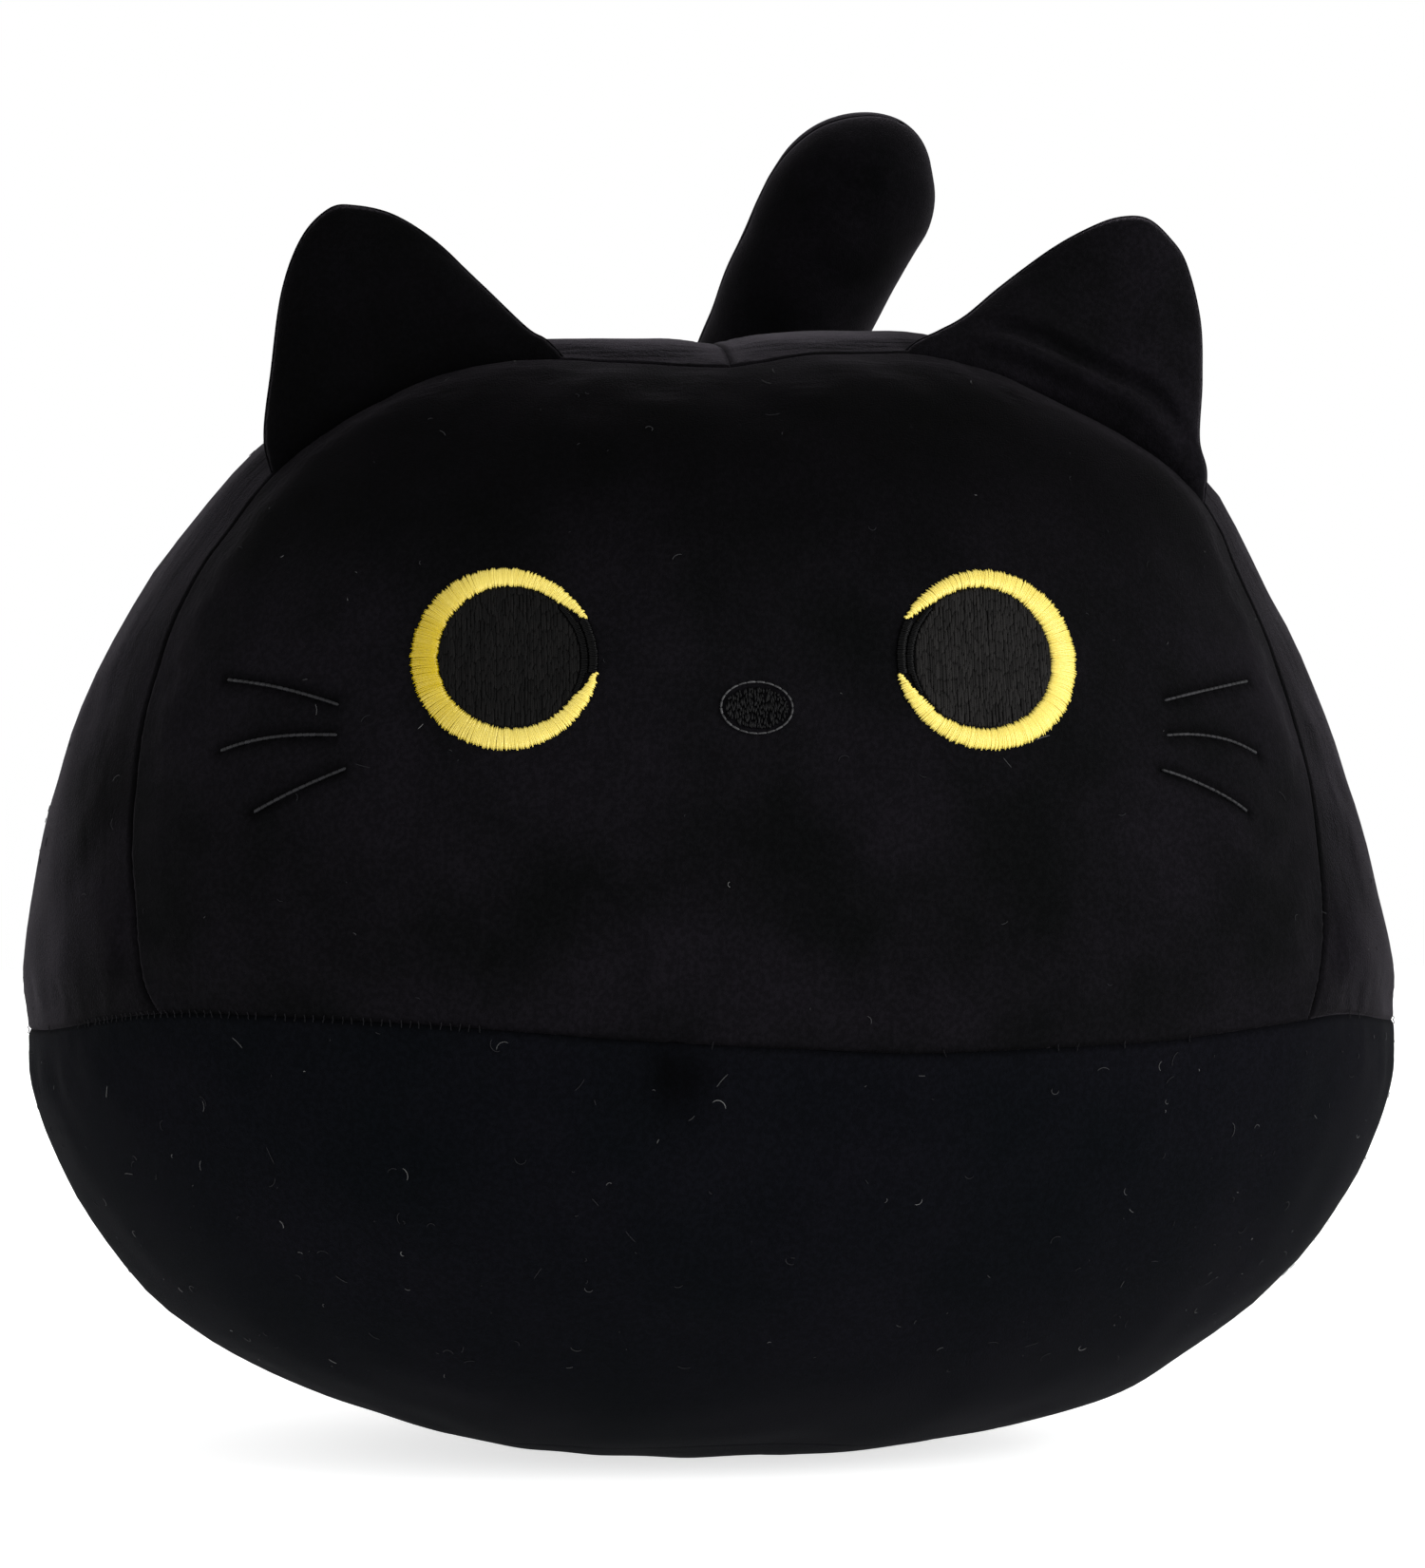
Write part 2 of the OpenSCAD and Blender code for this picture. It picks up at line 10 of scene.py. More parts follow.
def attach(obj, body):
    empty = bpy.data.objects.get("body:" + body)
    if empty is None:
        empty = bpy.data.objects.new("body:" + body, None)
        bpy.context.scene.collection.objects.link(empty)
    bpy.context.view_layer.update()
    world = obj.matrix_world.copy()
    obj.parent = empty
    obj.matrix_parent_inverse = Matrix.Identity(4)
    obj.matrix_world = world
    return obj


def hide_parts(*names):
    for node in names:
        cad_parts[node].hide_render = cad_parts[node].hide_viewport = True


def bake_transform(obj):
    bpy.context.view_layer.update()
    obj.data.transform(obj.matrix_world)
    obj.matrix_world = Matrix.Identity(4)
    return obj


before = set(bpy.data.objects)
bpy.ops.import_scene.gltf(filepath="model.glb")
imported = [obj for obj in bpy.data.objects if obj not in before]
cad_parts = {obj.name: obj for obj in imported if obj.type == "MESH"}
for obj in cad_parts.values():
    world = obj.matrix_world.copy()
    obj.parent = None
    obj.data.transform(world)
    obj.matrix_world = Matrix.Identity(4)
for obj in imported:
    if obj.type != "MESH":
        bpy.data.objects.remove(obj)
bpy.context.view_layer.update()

MM = 0.001
rng = np.random.default_rng(7)


def new_object(name, data):
    obj = bpy.data.objects.new(name, data)
    bpy.context.scene.collection.objects.link(obj)
    return obj

# ---- camera


camera = new_object("camera", bpy.data.cameras.new("camera"))
bpy.context.scene.camera = camera
CAMERA_AZ, CAMERA_EL = math.radians(-5.5), math.radians(0.5)
CAMERA_FAR, CAMERA_LENS = 1.6, 125.9
AIM_OFFSET = Vector((0.0019, 0, 0.0125))
camera_aim = Vector((0, 0, 0.18))
camera_back = Vector((math.sin(CAMERA_AZ) * math.cos(CAMERA_EL), -math.cos(CAMERA_AZ) * math.cos(CAMERA_EL),
                      math.sin(CAMERA_EL)))
camera.location = camera_aim + CAMERA_FAR * camera_back
look = camera_aim + AIM_OFFSET - camera.location
camera.rotation_euler = look.to_track_quat("-Z", "Y").to_euler()
camera.data.lens = CAMERA_LENS
camera.data.dof.use_dof = False

# ---- body shape, as in the CAD part

HALF_W, HALF_D = 200.0, 156.0
WAIST_H, BODY_H = 121.0, 322.0
BOWL_H = 121.8
RING_POWER, DOME_POWER, CROWN_POWER = 2.2, 1.7, 3.2
BOWL_POWER, BOWL_SIDE_POWER = 1.8, 2.6
SEAM_CORNER = 50.0
SEAM_POINTS = np.array([
    [0, -28], [30, -14], [62, -10],
    [90 * math.sin(math.radians(SEAM_CORNER)), -90 * math.cos(math.radians(SEAM_CORNER))]])
SEAM_SPLIT, CROWN_SPLIT = 0.5, 25.0
BASE_SEAM_DROP = 70.0
TAIL_POINTS = np.array([[0, 158, 170], [0, 206, 172], [3, 185, 270], [60, 139, 379.5]], float)
TAIL_R = 25.5
# The tail's tip leans to the right above this height, by this share of the height
TIP_LEAN_FROM, TIP_LEAN = 384.0, 0.22
EAR_BASE = np.array([96, -50, 305.5])


def signed_power(v, p):
    return np.sign(v) * np.abs(v) ** p


def body_ring(spread, turn, z, inset):
    """Points of the body's outline at a height. Spread is 1 at the waist, turn is in degrees."""
    t = np.radians(turn)
    return np.stack([(HALF_W - inset) * spread * signed_power(np.sin(t), 2 / RING_POWER),
                     -(HALF_D - inset) * spread * signed_power(np.cos(t), 2 / RING_POWER), z], -1)


def dome_point(flat, inset=0.0):
    """Points of the dome from their places in the flattened dome, where the waist is radius 90."""
    flat = np.asarray(flat, float)
    polar = np.minimum(np.hypot(flat[..., 0], flat[..., 1]), 90.0)
    spread = np.sin(np.radians(polar))
    rise = np.maximum(0, 1 - spread ** CROWN_POWER) ** (1 / DOME_POWER)
    turn = np.degrees(np.arctan2(flat[..., 0], -flat[..., 1]))
    return body_ring(spread, turn, WAIST_H + (BODY_H - inset - WAIST_H) * rise, inset)


def bowl_point(drop, turn, inset=0.0):
    """Points of the bowl from their drop angle below the waist and their turn from the front."""
    drop, turn = np.broadcast_arrays(np.asarray(drop, float), np.asarray(turn, float))
    spread = np.maximum(0, np.cos(np.radians(drop))) ** (2 / BOWL_SIDE_POWER)
    fall = np.sin(np.radians(drop)) ** (2 / BOWL_POWER)
    return body_ring(spread, turn, WAIST_H - (BOWL_H - inset) * fall, inset)


def face_point(x, z, inset=0.0):
    """Points of the face from their places in the front view."""
    x, z = np.broadcast_arrays(np.asarray(x, float), np.asarray(z, float))
    spread = (1 - ((z - WAIST_H) / (BODY_H - inset - WAIST_H)) ** DOME_POWER) ** (1 / CROWN_POWER)
    side = (np.abs(x) / ((HALF_W - inset) * spread)) ** RING_POWER
    return np.stack([x, -(HALF_D - inset) * spread * (1 - side) ** (1 / RING_POWER), z], -1)


def bezier(points, t):
    t = np.asarray(t, float)[..., None]
    return ((1 - t) ** 3 * points[0] + 3 * (1 - t) ** 2 * t * points[1]
            + 3 * (1 - t) * t * t * points[2] + t ** 3 * points[3])


def bezier_slope(points, t):
    t = np.asarray(t, float)[..., None]
    return 3 * ((1 - t) ** 2 * (points[1] - points[0]) + 2 * (1 - t) * t * (points[2] - points[1])
                + t * t * (points[3] - points[2]))


def unit(v):
    v = np.asarray(v, float)
    return v / np.maximum(np.linalg.norm(v, axis=-1, keepdims=True), 1e-9)


def bell(away, width):
    """1 in the middle, falling softly to nothing beyond the width."""
    return np.exp(-(away / width) ** 2)

# ---- grids of the skin panels


def graded(count, first):
    """Shares from 0 to 1 whose steps grow evenly from the first at both ends to the middle."""
    low, high = 1.0, 2.0
    for _ in range(60):
        ratio = (low + high) / 2
        steps = ratio ** np.minimum(np.arange(count), np.arange(count)[::-1])
        if first * steps.sum() < 1:
            low = ratio
        else:
            high = ratio
    return np.concatenate([[0], np.cumsum(steps) / steps.sum()])


def face_seam_flat(t):
    """Signed place on the face seam: -1 is its left end, 0 the top of the head and 1 its right end."""
    t = np.asarray(t, float)
    p = bezier(SEAM_POINTS, np.abs(t))
    return np.stack([np.where(t < 0, -1, 1) * p[..., 0], p[..., 1]], -1)


def waist_flat(turn):
    t = np.radians(np.asarray(turn, float))
    return 90 * np.stack([np.sin(t), -np.cos(t)], -1)


def inside_edges(top, bottom, left, right, u, v):
    """Points inside four joined edges. Top and bottom are given along u, left and right along v."""
    u, v = u[None, :, None], v[:, None, None]
    return ((1 - v) * top[None] + v * bottom[None] + (1 - u) * left[:, None] + u * right[:, None]
            - (1 - v) * ((1 - u) * top[0] + u * top[-1]) - v * ((1 - u) * bottom[0] + u * bottom[-1]))


def face_grid(u, v):
    down = SEAM_SPLIT + (1 - SEAM_SPLIT) * v
    return dome_point(inside_edges(
        face_seam_flat((2 * u - 1) * SEAM_SPLIT), waist_flat(SEAM_CORNER * (2 * u - 1)),
        face_seam_flat(-down), face_seam_flat(down), u, v))


def side_grid(u, v):
    front = SEAM_POINTS[0]
    back = np.array([0.0, CROWN_SPLIT]) + front
    foot = waist_flat(180)
    return dome_point(inside_edges(
        front + (back - front) * u[:, None], waist_flat(SEAM_CORNER + (180 - SEAM_CORNER) * u),
        bezier(SEAM_POINTS, v), back + (foot - back) * v[:, None], u, v))


def bowl_grid(turn_from, turn_to, u, v):
    return bowl_point((BASE_SEAM_DROP * v)[:, None], (turn_from + (turn_to - turn_from) * u)[None])


def mirrored(grid):
    return (grid * [-1, 1, 1])[:, ::-1]


# ---- seams

STEP = 1.0


def search_tree(points):
    """A tree that finds the nearest of the points."""
    tree = KDTree(len(points))
    for index, point in enumerate(points):
        tree.insert(point, index)
    tree.balance()
    return tree


def resampled(path, step=STEP, count=None):
    """The path's points again, evenly spaced: a step apart, or so many."""
    length = np.concatenate([[0], np.cumsum(np.linalg.norm(np.diff(path, axis=0), axis=1))])
    at = np.linspace(0, length[-1], count or max(2, int(length[-1] / step) + 1))
    return np.stack([np.interp(at, length, column) for column in path.T], -1)


SEAMS = {
    "face": resampled(dome_point(face_seam_flat(np.linspace(-1, 1, 400)))),
    "centre": resampled(dome_point(np.stack([np.zeros(300), np.linspace(-28, 90, 300)], -1))),
    "waist": resampled(bowl_point(0, np.linspace(0, 360, 600))),
    "base": resampled(bowl_point(BASE_SEAM_DROP, np.linspace(0, 360, 400))),
    "flank_right": resampled(bowl_point(np.linspace(0, BASE_SEAM_DROP, 200), 90)),
    "flank_left": resampled(bowl_point(np.linspace(0, BASE_SEAM_DROP, 200), 270)),
}


def pucker_wave(count, wavelength, seed):
    """A wavy strength along a seam, mostly between -1 and 1, that joins up at its ends."""
    wave_rng = np.random.default_rng(seed)
    turn = np.arange(count) / count * 2 * math.pi
    waves = max(1, int(count * STEP / wavelength))
    total = np.zeros(count)
    for k in range(max(1, waves // 2), waves * 2):
        total += np.sin(k * turn + wave_rng.uniform(0, 6.28)) * wave_rng.uniform(0.3, 1)
    return total / (np.abs(total).max() + 1e-9)


# How deep each seam draws the skin in, as a share of the full depth
SEAM_PULL = {"face": 0.5, "centre": 0.4, "waist": 0.55, "base": 0.12, "flank_right": 0.4, "flank_left": 0.4}

# Every seam point in one search tree, with the strength of the puckers beside it and the seam's pull
seam_wave = np.concatenate([pucker_wave(len(path), 15.0, seed) for seed, path in enumerate(SEAMS.values())])
seam_pull = np.concatenate([np.full(len(path), SEAM_PULL[name]) for name, path in SEAMS.items()])
seam_tree = search_tree(np.concatenate(list(SEAMS.values())))


def beside_seams(points):
    """How far points are from the nearest seam, and the number of the seam's point there."""
    found = [seam_tree.find(p) for p in points.reshape(-1, 3)]
    return [np.array([f[k] for f in found]).reshape(points.shape[:-1]) for k in (2, 1)]


GROOVE_DEEP, GROOVE_W = 1.7, 0.8
VALLEY_DEEP, VALLEY_W = 0.8, 8.0
PUCKER, PUCKER_FROM, PUCKER_W = 0.5, 2.0, 9.0
DIMPLE_AT, DIMPLE_DEEP, DIMPLE_W = np.array([-23.0, -155.0, 114.0]), 3.0, 6.0
PLEAT_DEEP, PLEAT_W, PLEAT_H = 2.2, 2.4, 8.0
WHISKER_DEEP, WHISKER_W = 0.8, 1.6


# Whiskers, as Bezier points in the front view: (distance from the middle, height)
WHISKERS = {
    "left": {
        "upper": ((140.5, 221), (125, 219), (111, 214)),
        "middle": ((142, 201.5), (130, 206.5), (111, 206)),
        "lower": ((133, 185), (123, 191.5), (109, 197))},
    "right": {
        "upper": ((145.5, 221), (131, 218.5), (118, 215.5)),
        "middle": ((146, 201), (134, 207.5), (118, 206)),
        "lower": ((141, 185), (130, 193), (114.5, 197))},
}
SIDES = {"left": -1, "right": 1}


def whisker_line(word, level):
    places = np.array(WHISKERS[word][level], float)
    t = np.linspace(0, 1, 80)[:, None]
    line = (1 - t) ** 2 * places[0] + 2 * (1 - t) * t * places[1] + t * t * places[2]
    return face_point(SIDES[word] * line[:, 0], line[:, 1])


WHISKER_LINES = [whisker_line(word, level) for word in WHISKERS for level in WHISKERS[word]]


def from_line(points, line):
    """How far points are from a line."""
    return np.min([np.linalg.norm(points - p, axis=-1) for p in line[::4]], axis=0)


def seam_relief(points):
    """How far the stuffed skin stands out at points of the body, in mm: grooves, puckers and one dimple."""
    near, index = beside_seams(points)
    wave, pull = seam_wave[index], seam_pull[index]
    groove = pull * (GROOVE_DEEP * bell(near, GROOVE_W) + VALLEY_DEEP * bell(near, VALLEY_W))
    pucker = PUCKER * pull * wave * np.exp(-near / PUCKER_W) * (1 - bell(near, PUCKER_FROM))
    hollows = 0.0
    for line in WHISKER_LINES:
        if (np.abs(points[..., 1] - line[0, 1]) < 60).any():
            hollows = hollows + WHISKER_DEEP * bell(from_line(points, line), WHISKER_W)
    dimple = DIMPLE_DEEP * bell(np.linalg.norm(points - DIMPLE_AT, axis=-1), DIMPLE_W)
    fold_x, fold_z = points[..., 0] - DIMPLE_AT[0], points[..., 2] - DIMPLE_AT[2]
    pleat = PLEAT_DEEP * bell(fold_x, PLEAT_W) * bell(fold_z, PLEAT_H) * (points[..., 1] < 0)
    return pucker - groove - dimple - hollows - pleat


# Painted shade: the colour is darkened in the hollows of the dimple, along the seams and beside the whiskers
SHADE_DIMPLE_AT, SHADE_DIMPLE_SIZE = np.array([-23.0, -155.0, 112.0]), (8.5, 30, 9.5)
SHADE_DIMPLE, SHADE_SEAM_W = 0.75, 1.3
SHADE_SEAM_Z, SHADE_SEAM = (150, 175, 270, 300), (0.45, 0.8, 0.8, 0.1)
SHADE_WHISKER, SHADE_WHISKER_W = 0.8, 2.4


def pressed_pile(points):
    """How much painted shade darkens the colour at points of the plain body: 0 is none, 1 is black."""
    dimple = np.prod(bell(points - SHADE_DIMPLE_AT, SHADE_DIMPLE_SIZE), axis=-1)
    along_seam = np.interp(points[..., 2], SHADE_SEAM_Z, SHADE_SEAM)
    hollows = np.maximum(along_seam * bell(beside_seams(points)[0], SHADE_SEAM_W), SHADE_DIMPLE * dimple)
    for line in WHISKER_LINES:
        hollows = np.maximum(hollows, SHADE_WHISKER * bell(from_line(points, line), SHADE_WHISKER_W))
    return hollows


def body_level(points):
    """The body's formula: 1 on its surface, more outside it."""
    x, y, z = np.moveaxis(points, -1, 0)
    spread = ((np.abs(x) / HALF_W) ** RING_POWER + (np.abs(y) / HALF_D) ** RING_POWER) ** (1 / RING_POWER)
    rise = np.maximum(z - WAIST_H, 0) / (BODY_H - WAIST_H)
    fall = np.maximum(WAIST_H - z, 0) / BOWL_H
    return np.where(z > WAIST_H, spread ** CROWN_POWER + rise ** DOME_POWER,
                    spread ** BOWL_SIDE_POWER + fall ** BOWL_POWER)


def body_normals(points):
    small = 0.5
    steps = np.eye(3) * small
    return unit(np.stack([body_level(points + d) - body_level(points - d) for d in steps], -1))


LUMP_SIZE, LUMP_DEEP = 42.0, 1.1


def lumps(points, size=LUMP_SIZE, seed=0.0):
    """Soft unevenness of the stuffing, mostly between -1 and 1."""
    shift = Vector((seed, 2 * seed, 3 * seed))
    flat = [noise.noise(Vector(p / size) + shift) + 0.5 * noise.noise(Vector(p / size * 2.3) + shift)
            for p in points.reshape(-1, 3)]
    return np.array(flat).reshape(points.shape[:-1])


# ---- mesh and object helpers


def mesh_object(name, points, faces):
    """A mesh object from points in mm."""
    mesh = bpy.data.meshes.new(name)
    mesh.from_pydata((np.asarray(points, float) * MM).tolist(), [], faces)
    mesh.validate()
    mesh.polygons.foreach_set("use_smooth", [True] * len(mesh.polygons))
    mesh.update()
    return new_object(name, mesh)


def grid_faces(rows, cols, start=0, wrap=False):
    """Faces of a grid whose rows go down and columns go right as its outside is seen."""
    faces = []
    for r in range(rows - 1):
        for c in range(cols - (0 if wrap else 1)):
            a, b = start + r * cols + c, start + r * cols + (c + 1) % cols
            faces.append((a, a + cols, b + cols, b))
    return faces


# How thick a thread is at its ends, as a share
THREAD_END = 0.45


def tube_faces(rings, around, start=0):
    """Faces of a tube made of rings, closed at both ends."""
    last = start + (rings - 1) * around
    return grid_faces(rings, around, start, wrap=True) + [
        tuple(range(start, start + around)), tuple(range(last + around - 1, last - 1, -1))]


def thread_mesh(paths, radius, sides=5, flat=1.0):
    """Points and faces of many round threads. Each path is its points and the surface's normals there."""
    points, faces = [], []
    angles = np.arange(sides) / sides * 2 * math.pi
    for path, normals in paths:
        along = unit(np.gradient(path, axis=0))
        side = unit(np.cross(along, normals))
        up = np.cross(side, along)
        n = len(path)
        r = np.full(n, radius)
        r[0] = r[-1] = radius * THREAD_END
        rings = (path[:, None] + r[:, None, None] * (np.cos(angles)[None, :, None] * side[:, None]
                 + flat * np.sin(angles)[None, :, None] * up[:, None]))
        faces += tube_faces(n, sides, len(points))
        points.extend(rings.reshape(-1, 3))
    return points, faces


def add_values(obj, name, values):
    """Gives each vertex a number that the piece's material can read."""
    obj.data.attributes.new(name, "FLOAT", "POINT").data.foreach_set("value", np.asarray(values, np.float32))


def apply_modifiers(obj):
    """Makes an object's modifiers permanent."""
    bpy.context.view_layer.update()
    evaluated = obj.evaluated_get(bpy.context.evaluated_depsgraph_get())
    mesh = bpy.data.meshes.new_from_object(evaluated)
    obj.modifiers.clear()
    old, obj.data = obj.data, mesh
    bpy.data.meshes.remove(old)


def thicken(obj, thickness):
    """Gives a skin its cloth's thickness, inwards."""
    solid = obj.modifiers.new("cloth", "SOLIDIFY")
    solid.thickness = thickness * MM
    solid.offset = -1
    apply_modifiers(obj)


def finish_piece(obj, body, material, nodes=()):
    obj.data.materials.clear()
    obj.data.materials.append(material)
    if body:
        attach(obj, body)
    if nodes:
        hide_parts(*nodes)
    return obj


# ---- cloth simulation of the stuffed body

SIM_FRAMES, SIM_VOXEL, SIM_INSET, SIM_CAP = 20, 5.0, 2.0, 0.8
SIM_EVEN_R, GATHER_W = 30.0, 6.0
SIM_SETTINGS = {
    "quality": 5, "mass": 0.3, "tension_stiffness": 15, "compression_stiffness": 15, "shear_stiffness": 5,
    "bending_stiffness": 0.5, "air_damping": 5, "use_pressure": True, "uniform_pressure_force": 4.0,
    "shrink_max": 0.06}


def closed_body(inset, columns=96):
    """Points and faces of the whole body as one closed surface."""
    turns = np.arange(columns) / columns * 360
    dome = [dome_point(polar * np.stack([np.sin(np.radians(turns)), -np.cos(np.radians(turns))], -1), inset)
            for polar in np.linspace(2, 90, 40)]
    bowl = [bowl_point(drop, turns, inset) for drop in np.linspace(3, 89, 30)]
    rings = dome + bowl
    return np.concatenate(rings), tube_faces(len(rings), columns)


def coordinates(mesh):
    co = np.empty(len(mesh.vertices) * 3)
    mesh.vertices.foreach_get("co", co)
    return co.reshape(-1, 3)


def run_cloth(obj, gathered):
    """Inflates a closed cloth and returns how far each vertex moved, in mm."""
    before = coordinates(obj.data)
    cloth = obj.modifiers.new("cloth", "CLOTH")
    settings = cloth.settings
    for name, value in SIM_SETTINGS.items():
        setattr(settings, name, value)
    settings.effector_weights.gravity = 0
    group = obj.vertex_groups.new(name="gathered")
    for index, weight in enumerate(gathered):
        if weight > 0.01:
            group.add([index], float(weight), "REPLACE")
    settings.vertex_group_shrink = "gathered"
    cloth.point_cache.frame_end = SIM_FRAMES
    scene = bpy.context.scene
    scene.frame_end = SIM_FRAMES
    for number in range(1, SIM_FRAMES + 1):
        scene.frame_set(number)
    evaluated = obj.evaluated_get(bpy.context.evaluated_depsgraph_get())
    moved = (coordinates(evaluated.data) - before) / MM
    obj.modifiers.clear()
    scene.frame_set(1)
    return before / MM, moved


def simulated_moves(name, points, faces, gather):
    """A function that says how far simulated stuffing pushes points near a closed skin, in mm.

    Gather gives how strongly each place is drawn together."""
    obj = mesh_object(name, points, faces)
    remesh = obj.modifiers.new("voxels", "REMESH")
    remesh.mode = "VOXEL"
    remesh.voxel_size = SIM_VOXEL * MM
    apply_modifiers(obj)
    start = coordinates(obj.data) / MM
    before, moved = run_cloth(obj, gather(start))
    bpy.data.objects.remove(obj)
    tree = search_tree(before)
    # The overall shrinking is left out, so that only the gathers and wrinkles stay
    even = np.array([moved[[f[1] for f in tree.find_range(point, SIM_EVEN_R)]].mean(0) for point in before])
    moved = moved - even
    length = np.linalg.norm(moved, axis=-1, keepdims=True)
    moved = moved * np.minimum(1, SIM_CAP / np.maximum(length, 1e-6))

    def moves(points):
        total = np.zeros_like(points).reshape(-1, 3)
        for k, point in enumerate(points.reshape(-1, 3)):
            found = tree.find_n(point, 6)
            weights = np.array([1 / (f[2] + 1.5) ** 2 for f in found])
            total[k] = (weights[:, None] * moved[[f[1] for f in found]]).sum(0) / weights.sum()
        return total.reshape(points.shape)

    return moves


def near_seams(points):
    """How strongly the nearest seam gathers the cloth at points."""
    near, index = beside_seams(points)
    return seam_pull[index] * bell(near, GATHER_W)


body_moves = simulated_moves("body_cloth", *closed_body(SIM_INSET), near_seams)


# Hand stuffing makes the body a little uneven: (height, how far each side stands out there), in mm
UNEVEN_Z = np.array([0, 10, 28, 61, 94, 116, 140, 180, 227, 249, 262, 272, 282, 300])
UNEVEN_LEFT = np.array([-9, -6, -1.8, -3.2, -4.4, -2.8, -1.2, 0.2, -0.7, -1.5, -2.0, -2.6, -1.2, 0])
UNEVEN_RIGHT = np.array([8, 5, 0.5, 1.4, 0.4, 0.8, 0.4, -2.2, -3.2, -2.6, 0.4, 3.6, 5.4, 0])
# It reaches its full strength this far from the middle
UNEVEN_FROM = 110.0
# The waist seam wanders up and down across the front: (place, rise), in mm
WANDER_X = np.array([-200, -172, -150, -115, -83, -36, 0, 42, 111, 172, 200])
WANDER_Z = np.array([1.0, 7.5, 10.0, 9.0, 7.5, 4.0, 2.0, 0.0, 2.0, 8.0, 2.5])
WANDER_H, FRONT_FADE = 26.0, 60.0
# The top of the head rises and sinks a little between the ears: (place, rise), in mm
CROWN_X = np.array([-100, -80, -60, -40, -21, 0, 15, 28, 43, 58, 72, 95])
CROWN_Z = np.array([0, 1.4, 0.4, -1.4, -2.4, -1.2, 0.2, 0.9, 1.8, 3.2, 2.2, 0])
CROWN_FROM, CROWN_FADE = 290.0, 25.0
# The left face seam ends further back at the waist: (place, height, shift, half width, half height)
SEAM_FOOT = (-157.0, 126.0, 7.0, 30.0, 24.0)
# Under this height the skin rests on the ground and its wrinkles are pressed flat
PRESSED_FLAT, FLAT_FADE, OFF_GROUND = 8.0, 25.0, 0.05


def eased(at, knots, values):
    """Values between knots, with the corners rounded."""
    return sum(np.interp(at + shift, knots, values) for shift in (-8, -4, 0, 4, 8)) / 5


def skin(points, lift=0.0):
    """Points of the stuffed body's skin, from points of the plain body. Lift is above the skin, in mm."""
    normals = body_normals(points)
    out = seam_relief(points) + LUMP_DEEP * lumps(points) + lift
    x, y, z = np.moveaxis(points, -1, 0)
    free = np.clip((z - PRESSED_FLAT) / FLAT_FADE, 0, 1)[..., None]
    moved = points + body_moves(points) * free + normals * np.asarray(out)[..., None]
    out_left, out_right = eased(z, UNEVEN_Z, UNEVEN_LEFT), eased(z, UNEVEN_Z, UNEVEN_RIGHT)
    far = np.minimum(1, np.abs(x) / UNEVEN_FROM) ** 2
    moved[..., 0] += far * np.where(x < 0, -out_left, out_right)
    front = np.clip(0.5 - y / FRONT_FADE, 0, 1)
    moved[..., 2] += eased(x, CROWN_X, CROWN_Z) * np.clip((z - CROWN_FROM) / CROWN_FADE, 0, 1)
    at, up, shift, wide, high = SEAM_FOOT
    back = np.stack([normals[..., 1], -normals[..., 0], x * 0], -1)
    moved += back * (shift * front * bell(x - at, wide) * bell(z - up, high))[..., None]
    moved[..., 2] += front * eased(x, WANDER_X, WANDER_Z) * bell(z - WAIST_H, WANDER_H)
    moved[..., 2] = np.maximum(moved[..., 2], np.maximum(OFF_GROUND, lift + OFF_GROUND))
    return moved


# ---- materials


def add_node(tree, kind, output, inputs, **settings):
    """Adds a shader node and returns one of its outputs. Each input is a value or another node's output."""
    node = tree.nodes.new("ShaderNode" + kind)
    for name, value in settings.items():
        setattr(node, name, value)
    for socket, value in inputs.items():
        if isinstance(value, bpy.types.NodeSocket):
            tree.links.new(value, node.inputs[socket])
        else:
            node.inputs[socket].default_value = value
    return node.outputs[output]


def map_range(tree, value, low, high, out_low=0.0, out_high=1.0, curve="LINEAR"):
    ranges = {"From Min": low, "From Max": high, "To Min": out_low, "To Max": out_high}
    return add_node(tree, "MapRange", "Result", {"Value": value, **ranges}, interpolation_type=curve)


def height_in(tree, place):
    return add_node(tree, "SeparateXYZ", "Z", {"Vector": place})


